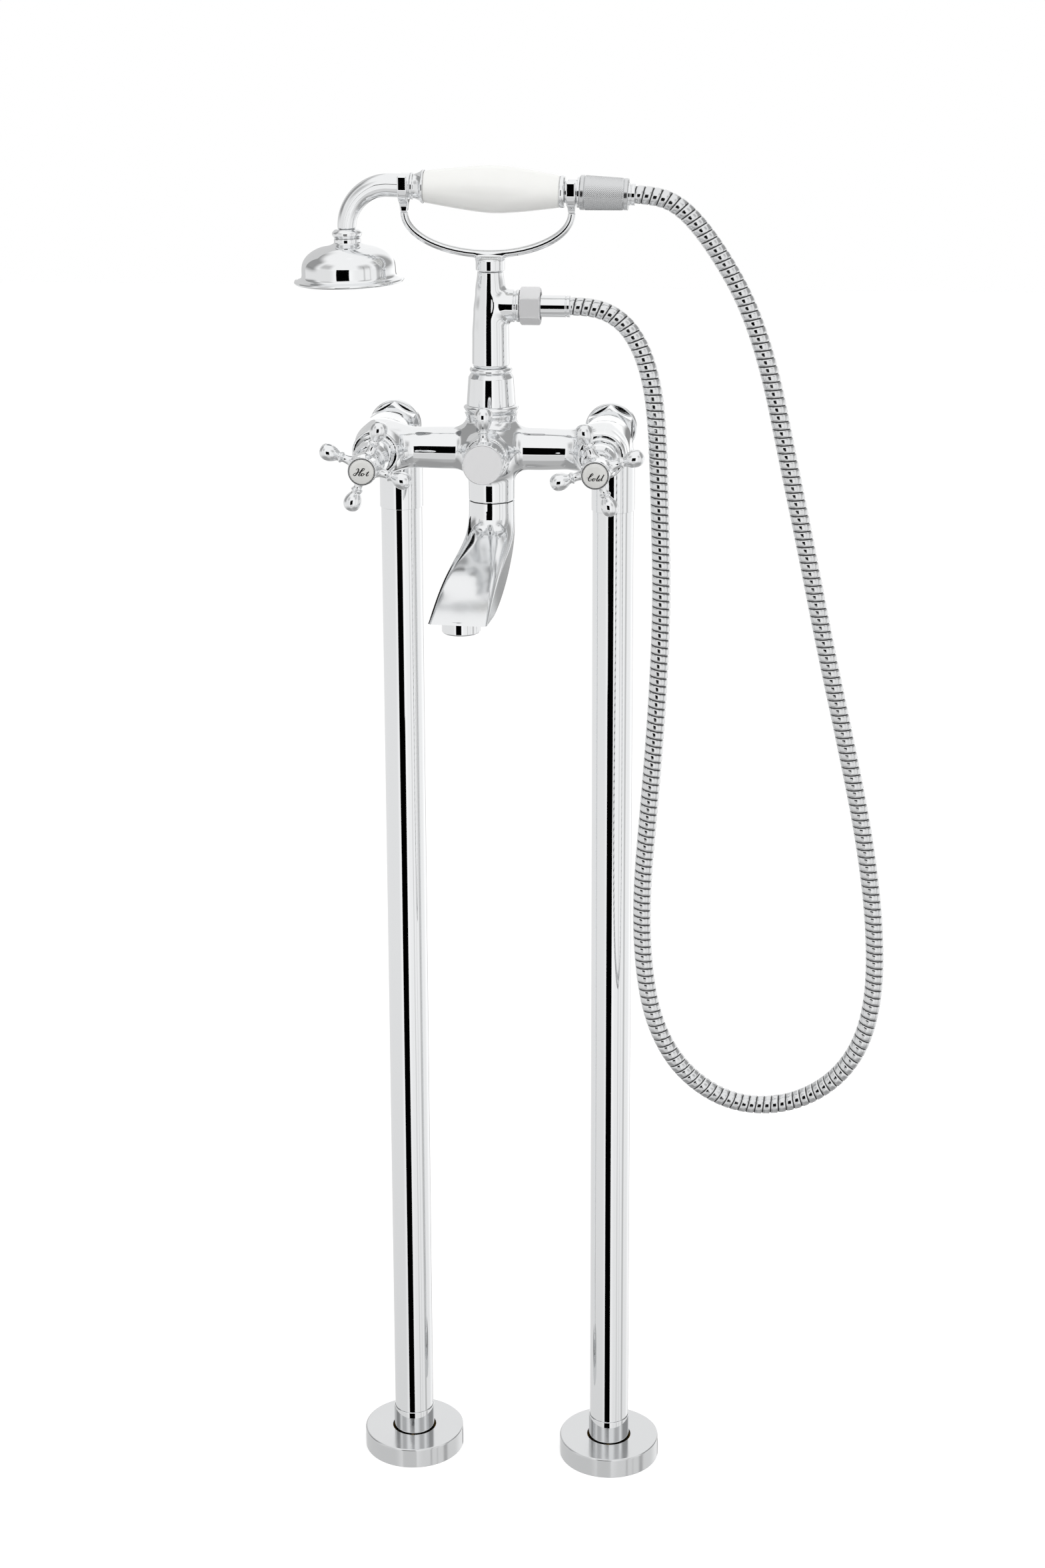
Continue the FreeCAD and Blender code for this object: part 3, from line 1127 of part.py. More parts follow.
# ---------------------------------------------------------------------------
# The whole filler
# ---------------------------------------------------------------------------
for side_word, side_sign in SIDES:
    floor_plate(side_word, side_sign)
    base_cover(side_word, side_sign)
    standpipe(side_word, side_sign)
    pipe_elbow(side_word, side_sign)
    union(side_word, side_sign)
mixer_body()
for side_word, side_sign in SIDES:
    valve(side_word, side_sign)
cross_handle("hot", -1, d.hot_turn)
cross_handle("cold", 1, -d.cold_turn)
diverter()
spout()
column()
hose_outlet()
cradle()
handset_grip()
handset_arm()
hose_nut()
shower_head()
shower_hose()
doc.recompute()

faults = [thing.Name for thing in doc.Objects if {"Invalid", "Error"} & set(thing.State)]
for node in nodes:
    if node.Shape.isNull() or not node.Shape.isValid() or not node.Shape.Solids:
        faults.append(node.Label)
if faults:
    raise RuntimeError("failed: " + ", ".join(faults))
os.makedirs("parts", exist_ok=True)
for node in nodes:
    node.Shape.exportStep(os.path.join("parts", node.Label + ".step"))
print(len(nodes), "sub-parts")
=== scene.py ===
# %% [markdown]
# # A floor standing bath filler in polished chrome
# Two tall standpipes carry a mixer with cross handles, a swivelling spout and a
# column.  A hand shower with a porcelain grip rests in a cradle on the column,
# and a metal hose hangs from it in a long loop.  This lesson dresses the packed
# model: each visible piece is a surface worked out with numpy, in millimetres.

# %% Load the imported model
import json
import math

import bpy
import numpy as np
from mathutils import Matrix, Vector

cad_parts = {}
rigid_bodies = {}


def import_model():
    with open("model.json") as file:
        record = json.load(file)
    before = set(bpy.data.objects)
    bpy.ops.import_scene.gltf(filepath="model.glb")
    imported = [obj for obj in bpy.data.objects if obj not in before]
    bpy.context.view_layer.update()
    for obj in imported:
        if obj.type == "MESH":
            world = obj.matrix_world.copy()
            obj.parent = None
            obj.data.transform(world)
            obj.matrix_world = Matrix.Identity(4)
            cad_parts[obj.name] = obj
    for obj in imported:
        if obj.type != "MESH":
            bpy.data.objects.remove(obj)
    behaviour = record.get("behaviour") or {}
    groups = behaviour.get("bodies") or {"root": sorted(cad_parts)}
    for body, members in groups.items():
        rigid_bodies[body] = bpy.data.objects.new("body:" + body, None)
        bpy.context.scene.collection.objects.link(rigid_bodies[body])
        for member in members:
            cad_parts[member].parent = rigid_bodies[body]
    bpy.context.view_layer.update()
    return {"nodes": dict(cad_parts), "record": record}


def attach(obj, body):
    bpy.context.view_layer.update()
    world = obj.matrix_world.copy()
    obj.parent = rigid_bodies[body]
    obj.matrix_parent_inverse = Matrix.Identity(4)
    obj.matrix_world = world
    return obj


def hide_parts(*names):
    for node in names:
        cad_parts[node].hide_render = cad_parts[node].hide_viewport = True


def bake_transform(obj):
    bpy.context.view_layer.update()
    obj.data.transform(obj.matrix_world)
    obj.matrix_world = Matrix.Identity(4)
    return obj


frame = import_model()
record = frame["record"]
body_of_node = {node: name for name, nodes in record["behaviour"]["bodies"].items() for node in nodes}
slot_of_node = {part["node"]: part["material_slot"] for part in record["subparts"]}

# %% [markdown]
# The camera stands a little right of the middle and above the mixer, and looks
# down by about fourteen degrees.  A lens shift brings the feet into the picture
# without tilting the camera further, which keeps the tall pipes nearly upright.

# %% Camera
CAMERA_AT = (0.1969, -1.8966, 1.1815)
CAMERA_TURN, CAMERA_TILT, CAMERA_ROLL = 5.668, 13.865, -0.221
LENS_MM, SENSOR_MM = 63.654, 36
LENS_SHIFT = (0.0021, -0.15)

lens = bpy.data.cameras.new("camera")
lens.lens = LENS_MM
lens.sensor_width = SENSOR_MM
lens.sensor_fit = "AUTO"
lens.shift_x, lens.shift_y = LENS_SHIFT
lens.clip_start = 0.05
camera = bpy.data.objects.new("camera", lens)
look = Matrix.Rotation(math.radians(CAMERA_TURN), 4, "Z")
look = look @ Matrix.Rotation(math.radians(90 - CAMERA_TILT), 4, "X")
look = look @ Matrix.Rotation(math.radians(CAMERA_ROLL), 4, "Z")
camera.matrix_world = Matrix.Translation(CAMERA_AT) @ look
bpy.context.scene.collection.objects.link(camera)
bpy.context.scene.camera = camera
bpy.context.scene.view_settings.view_transform = "Standard"
print("camera at", CAMERA_AT, "lens", LENS_MM, "mm")

# %% [markdown]
# Colours are written as sRGB hex values, as a paint chart gives them, and one
# function turns them to the linear values that the shader wants.

# %% Colour and node helpers
def linear(code):
    """Hex sRGB to linear: c / 12.92 below 0.04045, else ((c + 0.055) / 1.055) ** 2.4."""
    parts = [int(code[place:place + 2], 16) / 255 for place in (1, 3, 5)]
    return [c / 12.92 if c <= 0.04045 else ((c + 0.055) / 1.055) ** 2.4 for c in parts] + [1]


def add(tree, kind, settings=None, links=None):
    """One node with its settings and its incoming links."""
    node = tree.nodes.new(kind)
    for key, value in (settings or {}).items():
        if isinstance(key, int) or key in node.inputs:
            node.inputs[key].default_value = value
        else:
            setattr(node, key, value)
    for key, source in (links or {}).items():
        tree.links.new(source, node.inputs[key])
    return node


def material(name, base, **settings):
    """A Principled material; returns it with its tree, shader and Object coordinates."""
    made = bpy.data.materials.new(name)
    made.use_nodes = True
    tree = made.node_tree
    shader = tree.nodes["Principled BSDF"]
    shader.inputs["Base Color"].default_value = linear(base)
    for key, value in settings.items():
        shader.inputs[key.replace("_", " ")].default_value = value
    where = add(tree, "ShaderNodeTexCoord").outputs["Object"]
    return made, tree, shader, where


# %% [markdown]
# Chrome plate is a thin bright layer over polished brass.  Its colour is almost
# that of the room, so what the eye reads is how clean the mirror is: wiping
# leaves faint hazy patches a few centimetres across, which only roughness shows.

# %% Polished chrome plate
NOISE_LOW, NOISE_HIGH = 0.3, 0.7


def wiped(tree, shader, where, size_mm, low, high):
    """Roughness from noise with patches of a given size, its usual range stretched to low and high."""
    noise = add(tree, "ShaderNodeTexNoise", {"Scale": 1000 / size_mm, "Detail": 3.0}, {"Vector": where})
    spread = add(tree, "ShaderNodeMapRange",
                 {"From Min": NOISE_LOW, "From Max": NOISE_HIGH, "To Min": low, "To Max": high},
                 {"Value": noise.outputs["Fac"]})
    tree.links.new(spread.outputs["Result"], shader.inputs["Roughness"])


chrome_plate, tree, shader, where = material("polished_chrome_plate", "#F1F2F3", Metallic=1.0)
wiped(tree, shader, where, 35, 0.03, 0.055)

# %% [markdown]
# The covers on the floor are spun and only lightly buffed, so their mirror is
# hazier and greyer than that of the rest.

# %% Buffed chrome of the covers
cover_chrome, tree, shader, where = material("buffed_chrome_cover", "#DDDEDF", Metallic=1.0)
wiped(tree, shader, where, 22, 0.07, 0.18)

# %% [markdown]
# The disc on the diverter is matt: bead blasting before the plating leaves a fine
# even grain, about 0.3 mm across.  It scatters light so widely that the disc reads
# as a pale grey and hardly as a mirror, so little of it is metallic.

# %% Satin chrome
GRAINS_PER_M = 3000.0
satin_chrome, tree, shader, where = material("satin_chrome", "#EAEAEB", Metallic=0.2, Roughness=0.36)
grain = add(tree, "ShaderNodeTexNoise", {"Scale": GRAINS_PER_M, "Detail": 2.0}, {"Vector": where})
bump = add(tree, "ShaderNodeBump", {"Strength": 0.08, "Distance": 0.0002}, {"Height": grain.outputs["Fac"]})
tree.links.new(bump.outputs["Normal"], shader.inputs["Normal"])

# %% [markdown]
# The knurled nut is cut metal all over, so each small facet is a dull mirror.
# The hexagonal nut of the hose is blasted more lightly than the disc and keeps
# more of its metal.  The spout is buffed by hand below its collar, so its mirror
# softens there over a short way down, which the height in Object Z steers.

# %% Knurled chrome, hose nut and buffed spout
MIRROR_ENDS_Z, BUFFED_FROM_Z = 0.757, 0.745
knurled_chrome = material("knurled_chrome", "#DADBDC", Metallic=1.0, Roughness=0.2)[0]
nut_chrome = material("satin_chrome_nut", "#DEDEDF", Metallic=0.4, Roughness=0.36)[0]
spout_chrome, tree, shader, where = material("buffed_chrome_spout", "#F1F2F3", Metallic=1.0)
split = add(tree, "ShaderNodeSeparateXYZ", links={0: where})
buffed = add(tree, "ShaderNodeMapRange",
             {"From Min": MIRROR_ENDS_Z, "From Max": BUFFED_FROM_Z, "To Min": 0.045, "To Max": 0.12},
             {0: split.outputs["Z"]})
tree.links.new(buffed.outputs[0], shader.inputs["Roughness"])

# %% [markdown]
# The grip and the two buttons are glazed porcelain: a white clay body under a
# clear glass.  Firing leaves the glaze slightly uneven, like the skin of an
# orange, at about 4 mm, and the white drifts by a shade.

# %% Glazed porcelain
def porcelain(name, light, dark):
    """White that drifts from light to dark by a soft noise, under a glaze whose bumps follow a finer one."""
    made, tree, shader, where = material(name, light, Roughness=0.14)
    drift = add(tree, "ShaderNodeTexNoise", {"Scale": 40.0, "Detail": 2.0}, {"Vector": where})
    shade = add(tree, "ShaderNodeMix", {"data_type": "RGBA", 6: linear(light), 7: linear(dark)},
                {0: drift.outputs["Fac"]})
    tree.links.new(shade.outputs[2], shader.inputs["Base Color"])
    peel = add(tree, "ShaderNodeTexNoise", {"Scale": 250.0, "Detail": 1.0}, {"Vector": where})
    bump = add(tree, "ShaderNodeBump", {"Strength": 0.05, "Distance": 0.0003},
               {"Height": peel.outputs["Fac"]})
    tree.links.new(bump.outputs["Normal"], shader.inputs["Normal"])
    return made


grip_porcelain = porcelain("glazed_porcelain", "#EEEEEC", "#E8E8E5")
# the buttons take a greyer copy of the same porcelain: that grey is painted shade
button_porcelain_painted_shade = porcelain("glazed_porcelain_button", "#DADAD8", "#D2D2CF")
lettering_enamel = material("black_fired_enamel", "#0B0B0C", Roughness=0.25)[0]

# %% [markdown]
# The hose is a stainless strip wound into a spiral, polished on the crests.  Its
# mesh carries an attribute, crest, that is one on a rib and nought in a seam, and
# the colour is darkened toward the seams by it: painted shade, because little light
# gets into a seam.
# The remaining finishes are of pieces that mostly hide inside: turned brass,
# drawn copper tube, black rubber and plain steel.

# %% Hose steel, brass, copper, rubber and steel
SEAM_UP_TO, RIB_FROM = 0.15, 0.75

hose_steel, tree, shader, where = material("wound_stainless_strip", "#E4E5E6", Metallic=1.0)
wiped(tree, shader, where, 12, 0.08, 0.16)
crest = add(tree, "ShaderNodeAttribute", {"attribute_name": "crest"})
seam = add(tree, "ShaderNodeMapRange", {"From Min": SEAM_UP_TO, "From Max": RIB_FROM},
           {0: crest.outputs["Fac"]})
# painted shade: the colour falls to near black in the seams
painted_seam_shade = add(tree, "ShaderNodeMix", {"data_type": "RGBA", 6: linear("#2A2A2B"), 7: linear("#E4E5E6")},
           {0: seam.outputs[0]})
tree.links.new(painted_seam_shade.outputs[2], shader.inputs["Base Color"])
turned_brass, tree, shader, where = material("turned_brass", "#D8BC7A", Metallic=1.0)
wiped(tree, shader, where, 8, 0.25, 0.4)
drawn_copper, tree, shader, where = material("drawn_copper_tube", "#C98A66", Metallic=1.0)
wiped(tree, shader, where, 20, 0.2, 0.35)
seal_rubber, tree, shader, where = material("black_seal_rubber", "#1B1B1B")
wiped(tree, shader, where, 5, 0.55, 0.7)
plain_steel, tree, shader, where = material("plain_stainless_steel", "#C4C6C8", Metallic=1.0)
wiped(tree, shader, where, 10, 0.2, 0.3)

finish_of_slot = {
    "chrome": chrome_plate, "satin_chrome": satin_chrome, "porcelain": grip_porcelain, "rubber": seal_rubber,
    "copper": drawn_copper, "raw_brass": turned_brass, "satin_steel": plain_steel, "steel": hose_steel,
}
for node_name, shape in frame["nodes"].items():
    shape.data.materials.clear()
    shape.data.materials.append(finish_of_slot[slot_of_node[node_name]])
print(len(bpy.data.materials), "materials")

# %% [markdown]
# A mirror shows its room.  This room is a white studio that the camera and the
# metal both see.  A black card, about 31 degrees wide and 37 high, stands in front
# and gives the round pieces their dark line; the other cards are shades of grey.
# All are painted on the world by compass angle, counted from the front to the
# right, so that a straight pipe shows a straight stripe.  Only mirror rays meet
# the cards: the light on matt surfaces stays even.

# %% Studio
def strip(tree, angle, left, right, soft):
    """One between two angles and nothing outside: a smooth rise at one times a smooth fall at the other."""
    rise = add(tree, "ShaderNodeMapRange",
               {"From Min": left - soft, "From Max": left + soft, "interpolation_type": "SMOOTHSTEP"},
               {0: angle})
    fall = add(tree, "ShaderNodeMapRange",
               {"From Min": right - soft, "From Max": right + soft, "To Min": 1.0, "To Max": 0.0,
                "interpolation_type": "SMOOTHSTEP"}, {0: angle})
    return add(tree, "ShaderNodeMath", {"operation": "MULTIPLY"},
               {0: rise.outputs[0], 1: fall.outputs[0]}).outputs[0]


def darken(tree, level, mask, amount):
    """The level times one less amount times the mask."""
    part = add(tree, "ShaderNodeMath", {"operation": "MULTIPLY", 1: -amount}, {0: mask})
    keep = add(tree, "ShaderNodeMath", {"operation": "ADD", 1: 1.0}, {0: part.outputs[0]})
    return add(tree, "ShaderNodeMath", {"operation": "MULTIPLY"}, {0: level, 1: keep.outputs[0]}).outputs[0]


CARDS = [
    # compass angle from, to, soft edge, height from, to, soft edge, all in degrees, and how dark
    (-22.0, 9.5, 0.8, -19.5, 17.5, 0.8, 1.0),         # the black card in front
    (-160.0, -27.0, 14.0, -90.0, 12.0, 6.0, 0.26),    # the left wall
    (16.0, 130.0, 14.0, -90.0, 12.0, 6.0, 0.16),      # the right wall
    (-180.0, 180.0, 1.0, 12.0, 90.0, 8.0, 0.12),      # the ceiling
    (45.0, 49.0, 1.5, -70.0, 30.0, 4.0, 0.3),         # three slots in the right wall
    (61.0, 64.0, 1.0, -70.0, 30.0, 4.0, 0.2),
    (80.0, 91.0, 3.0, -70.0, 30.0, 4.0, 0.4),
    (-70.0, -38.0, 9.0, 16.0, 44.0, 10.0, 0.42),      # two soft shades high on the left
    (-148.0, -82.0, 12.0, 2.0, 50.0, 9.0, 0.66),
    (34.0, 66.0, 9.0, 16.0, 42.0, 10.0, 0.4),         # and two high on the right
    (86.0, 150.0, 12.0, 2.0, 48.0, 9.0, 0.62),
    (164.0, 175.0, 1.5, -60.0, 0.0, 3.0, 0.75),       # a slot at the back
    (-180.0, 180.0, 1.0, -90.0, -44.0, 8.0, 0.3),     # the ground under the feet
]
# toward the ground the room darkens between these heights, by this share
FADE_FROM, FADE_TO, FADE_DARK = -22.0, -50.0, 0.4
# how bright a white wall is in a mirror, and how strongly the room lights matt surfaces
MIRROR_LEVEL = 1.12
LIGHT_LEVEL = 0.72

world = bpy.data.worlds.new("studio")
bpy.context.scene.world = world
world.use_nodes = True
tree = world.node_tree
tree.nodes.clear()
heading = add(tree, "ShaderNodeTexCoord").outputs["Generated"]
split = add(tree, "ShaderNodeSeparateXYZ", links={0: heading})
forward = add(tree, "ShaderNodeMath", {"operation": "MULTIPLY", 1: -1.0}, {0: split.outputs["Y"]})
turn = add(tree, "ShaderNodeMath", {"operation": "ARCTAN2"}, {0: split.outputs["X"], 1: forward.outputs[0]})
compass = add(tree, "ShaderNodeMath", {"operation": "DEGREES"}, {0: turn.outputs[0]}).outputs[0]
lift = add(tree, "ShaderNodeMath", {"operation": "ARCSINE"}, {0: split.outputs["Z"]})
height = add(tree, "ShaderNodeMath", {"operation": "DEGREES"}, {0: lift.outputs[0]}).outputs[0]
level = add(tree, "ShaderNodeValue").outputs[0]
level.default_value = MIRROR_LEVEL
for left, right, soft, bottom, top, soft_end, amount in CARDS:
    across, upright = strip(tree, compass, left, right, soft), strip(tree, height, bottom, top, soft_end)
    mask = add(tree, "ShaderNodeMath", {"operation": "MULTIPLY"}, {0: across, 1: upright}).outputs[0]
    level = darken(tree, level, mask, amount)
low = add(tree, "ShaderNodeMapRange", {"From Min": FADE_FROM, "From Max": FADE_TO}, {0: height})
level = darken(tree, level, low.outputs[0], FADE_DARK)
# a mirror ray meets the cards, the camera sees plain white, also through glass,
# and every other ray meets an even light
ray = add(tree, "ShaderNodeLightPath")
mirror = add(tree, "ShaderNodeMix", {"data_type": "FLOAT", 2: LIGHT_LEVEL},
             {0: ray.outputs["Is Glossy Ray"], 3: level})
seen = add(tree, "ShaderNodeMath", {"operation": "MAXIMUM"},
           {0: ray.outputs["Is Camera Ray"], 1: ray.outputs["Is Transmission Ray"]})
strength = add(tree, "ShaderNodeMix", {"data_type": "FLOAT", 3: 1.0},
               {0: seen.outputs[0], 2: mirror.outputs[0]})
background = add(tree, "ShaderNodeBackground", {"Color": linear("#FFFFFF")},
                 {"Strength": strength.outputs[0]})
add(tree, "ShaderNodeOutputWorld", links={"Surface": background.outputs[0]})


# %% [markdown]
# Three more cards serve chosen pieces only, through light linking: a piece in the
# card's collection sees it glow, and any other finds it black.  Below the floor's
# level one carries the pipes' stripe on: it glows as softly as the room for all
# other pieces, and is black for the pipes.  One at the back on the left is black
# for the spout alone, and draws its left edge.  A bright one in front hides the
# world's black card from the shower's arm and the union nuts.  It is black for the
# other pieces, and lies before that black card for nearly all of them.

# %% Cards for chosen pieces
def card_for(name, left, right, low, high, glow_strength):
    """An upright sheet between two places (x, y) and two heights, in metres, that only mirror rays meet."""
    mesh = bpy.data.meshes.new(name)
    mesh.from_pydata([(*left, low), (*right, low), (*right, high), (*left, high)], [], [(0, 1, 2, 3)])
    card = bpy.data.objects.new(name, mesh)
    bpy.context.scene.collection.objects.link(card)
    for way in ("camera", "diffuse", "transmission", "volume_scatter", "shadow"):
        setattr(card, "visible_" + way, False)
    paint = bpy.data.materials.new(name)
    paint.use_nodes = True
    paint.node_tree.nodes.clear()
    glow = add(paint.node_tree, "ShaderNodeEmission",
               {"Color": linear("#FFFFFF"), "Strength": glow_strength})
    add(paint.node_tree, "ShaderNodeOutputMaterial", links={"Surface": glow.outputs[0]})
    mesh.materials.append(paint)
    card.light_linking.receiver_collection = bpy.data.collections.new("lit_by_" + name)
    return card


pipe_card = card_for("pipe_card", (-1.01, -2.5), (0.44, -2.5), -2.6, -0.2, 0.7)
edge_card = card_for("edge_card", (-2.24, 1.24), (-0.7, 2.36), 0.4, 3.1, 0.65)
arm_card = card_for("arm_card", (-0.95, -2.4), (0.25, -2.4), 0.0, 1.5, 0.95)

# %% [markdown]
# The floor is a wide pale sheet.  No mirror ray meets it, because the world's
# cards stand for it there.  It glows a little for the camera alone, which brings
# it near white and leaves the light on the pieces as it is.  Two large square
# lamps add to the even light of the world: one above, and a weak one on the left.

# %% Floor and lamps
FLOOR_HALF = 6.0
FLOOR_GLOW = 0.42
LAMPS_AIM = (0, 0, 0.6)

floor_sheet = bpy.data.meshes.new("floor")
floor_sheet.from_pydata([(-FLOOR_HALF, -FLOOR_HALF, 0), (FLOOR_HALF, -FLOOR_HALF, 0),
                         (FLOOR_HALF, FLOOR_HALF, 0), (-FLOOR_HALF, FLOOR_HALF, 0)], [], [(0, 1, 2, 3)])
floor = bpy.data.objects.new("floor", floor_sheet)
bpy.context.scene.collection.objects.link(floor)
floor.visible_glossy = False
pale, tree, shader, where = material("pale_floor", "#E6E6E6", Roughness=0.9)
glow = add(tree, "ShaderNodeEmission", {"Color": linear("#FFFFFF")})
glow_level = add(tree, "ShaderNodeMath", {"operation": "MULTIPLY", 1: FLOOR_GLOW},
                 {0: add(tree, "ShaderNodeLightPath").outputs["Is Camera Ray"]})
tree.links.new(glow_level.outputs[0], glow.inputs["Strength"])
both = add(tree, "ShaderNodeAddShader", links={0: shader.outputs[0], 1: glow.outputs[0]})
tree.links.new(both.outputs[0], tree.nodes["Material Output"].inputs["Surface"])
floor_sheet.materials.append(pale)


def soft_light(name, at, size, watts):
    """A square lamp whose -Z axis is turned from its place to the lamps' common aim; no mirror shows it."""
    lamp = bpy.data.lights.new(name, "AREA")
    lamp.size = size
    lamp.energy = watts
    thing = bpy.data.objects.new(name, lamp)
    turned = (Vector(LAMPS_AIM) - Vector(at)).to_track_quat("-Z", "Y")
    thing.matrix_world = Matrix.Translation(at) @ turned.to_matrix().to_4x4()
    thing.visible_glossy = False
    bpy.context.scene.collection.objects.link(thing)


soft_light("key_above", (0.4, -1.2, 2.4), 1.6, 11)
soft_light("fill_left", (-1.8, -1.2, 1.3), 1.2, 5)
print(len(CARDS), "cards,", len(bpy.data.lights), "lamps")

# %% [markdown]
# Nearly every piece here is turned or bent tube, so one recipe serves them all.
# A profile of (radius, distance) corners gets its edges rounded, because no
# real edge is sharp and chrome shows it, and is then carried along a path.  The
# same numbers give exact normals, so that wide flats reflect without waves.

# %% Profiles
EDGE = 0.3
ARC_STEPS = 6
ALMOST_STRAIGHT = 1.56
REACH_SHARE = 0.49


def rounded(corners, closed):
    """Line through (radius, distance, fillet) corners, with an arc for each corner.

    The arc starts and ends at fillet / tan(half the corner's angle) from the corner,
    and at no more than about half of a side.
    """
    spots = np.array([corner[:2] for corner in corners], float)
    fillets = [corner[2] if len(corner) > 2 else EDGE for corner in corners]
    line = []
    count = len(spots)
    for index, spot in enumerate(spots):
        if not closed and index in (0, count - 1):
            line.append(spot)
            continue
        before, after = spots[index - 1] - spot, spots[(index + 1) % count] - spot
        long_before, long_after = np.hypot(*before), np.hypot(*after)
        before, after = before / long_before, after / long_after
        half = math.acos(np.clip(before @ after, -1, 1)) / 2
        if fillets[index] == 0 or half > ALMOST_STRAIGHT:
            line.append(spot)
            continue
        reach = min(fillets[index] / math.tan(half), REACH_SHARE * long_before, REACH_SHARE * long_after)
        radius = reach * math.tan(half)
        middle = spot + (before + after) / np.hypot(*(before + after)) * radius / math.sin(half)
        start, end = spot + before * reach - middle, spot + after * reach - middle
        share = np.linspace(0, 1, ARC_STEPS + 1)[:, None]
        sweep = math.pi - 2 * half
        arc = (start * np.sin((1 - share) * sweep) + end * np.sin(share * sweep)) / math.sin(sweep)
        line.extend(middle + arc)
    return np.array(line)


def smooth(points, steps=10):
    """Curve through points: cubic Hermite pieces whose slopes are half the chord of the neighbours."""
    spots = np.array(points, float)
    slopes = np.gradient(spots, axis=0)
    share = np.linspace(0, 1, steps + 1)[:-1, None, None]
    start, end, out, into = spots[:-1], spots[1:], slopes[:-1], slopes[1:]
    curve = ((2 * share ** 3 - 3 * share ** 2 + 1) * start + (share ** 3 - 2 * share ** 2 + share) * out
             + (3 * share ** 2 - 2 * share ** 3) * end + (share ** 3 - share ** 2) * into)
    return np.vstack([curve.transpose(1, 0, 2).reshape(-1, spots.shape[1]), spots[-1:]])


def flowing(points, steps=8):
    """Uniform cubic B-spline: each stretch blends four neighbours by (1-s)^3, 3s^3-6s^2+4, -3s^3+3s^2+3s+1
    and s^3, over six.  Its curvature has no jumps, so a mirror made from it has no kinks."""
    spots = np.array(points, float)
    spots = np.vstack([2 * spots[0] - spots[1], spots, 2 * spots[-1] - spots[-2]])
    s = np.linspace(0, 1, steps + 1)[:-1, None, None]
    blend = ((1 - s) ** 3 * spots[:-3] + (3 * s ** 3 - 6 * s ** 2 + 4) * spots[1:-2]
             + (-3 * s ** 3 + 3 * s ** 2 + 3 * s + 1) * spots[2:-1] + s ** 3 * spots[3:]) / 6
    return np.vstack([blend.transpose(1, 0, 2).reshape(-1, spots.shape[1]), spots[-2:-1]])


def curved(points, steps=8):
    """Profile corners along a flowing curve, with no fillet of their own."""
    return [(radius, along, 0) for radius, along in flowing(points, steps)]


def unit(rows):
    """Each row over its own length."""
    return rows / np.linalg.norm(rows, axis=-1, keepdims=True)


# %% [markdown]
# The path may be a straight axis, as on a lathe, or a bent one, as in a tube
# bender.  Blender's Screw modifier makes the first and a tapered curve the second,
# but one function for both keeps the edges, the normals and the knurl in one
# place.  A path is itself a function: for a distance along it, it answers with the
# centre and the direction there.

# %% Carry a profile along a path
def straight(at, way):
    """Straight path: the centre is the first point plus distance times the direction."""
    way = np.array(way, float) / np.linalg.norm(way)
    helper = np.array((0, 0, 1.0)) if abs(way[2]) < 0.9 else np.array((1.0, 0, 0))
    binormal = unit(np.cross(way, helper)[None])[0]
    return lambda s: (np.array(at) + s[:, None] * way, np.broadcast_to(way, (len(s), 3)), binormal)


def bent(points, binormal):
    """Path through dense points of a flat curve: centre and direction are read off by distance along it."""
    points = np.array(points, float)
    steps = np.linalg.norm(np.diff(points, axis=0), axis=1)
    far = np.concatenate([[0], np.cumsum(steps)])
    ways = unit(np.gradient(points, far, axis=0, edge_order=2))
    binormal = np.array(binormal, float)

    def at(s):
        inside = np.clip(s, 0, far[-1])
        centre = np.stack([np.interp(inside, far, points[:, axis]) for axis in range(3)], 1)
        way = unit(np.stack([np.interp(inside, far, ways[:, axis]) for axis in range(3)], 1))
        return centre + (s - inside)[:, None] * way, way, binormal
    at.length = far[-1]
    return at


def put(name, points, faces, normals=None, finish=chrome_plate):
    """A mesh object from millimetre points, with its normals where they are known."""
    mesh = bpy.data.meshes.new(name)
    mesh.from_pydata((np.asarray(points) / 1000).tolist(), [], [list(face) for face in faces])
    mesh.shade_smooth()
    if normals is not None:
        mesh.normals_split_custom_set_from_vertices(np.asarray(normals).tolist())
    mesh.materials.append(finish)
    thing = bpy.data.objects.new(name, mesh)
    bpy.context.scene.collection.objects.link(thing)
    return thing


def stands_for(piece, *nodes):
    """The piece rides where the first node rides and stands in for the nodes, which are hidden."""
    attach(piece, body_of_node[nodes[0]])
    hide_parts(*nodes)
    return piece


def rings_joined(below, above):
    """Faces between rings of point numbers: a point, the next on its ring, and the two above them."""
    quads = np.stack([below, np.roll(below, -1, axis=1), np.roll(above, -1, axis=1), above], -1)
    return quads.reshape(-1, 4).tolist()


def fan(pole, ring):
    """Triangles from a pole to each point of a ring and the next."""
    return [(pole, int(here), int(after)) for here, after in zip(ring, np.roll(ring, -1))]


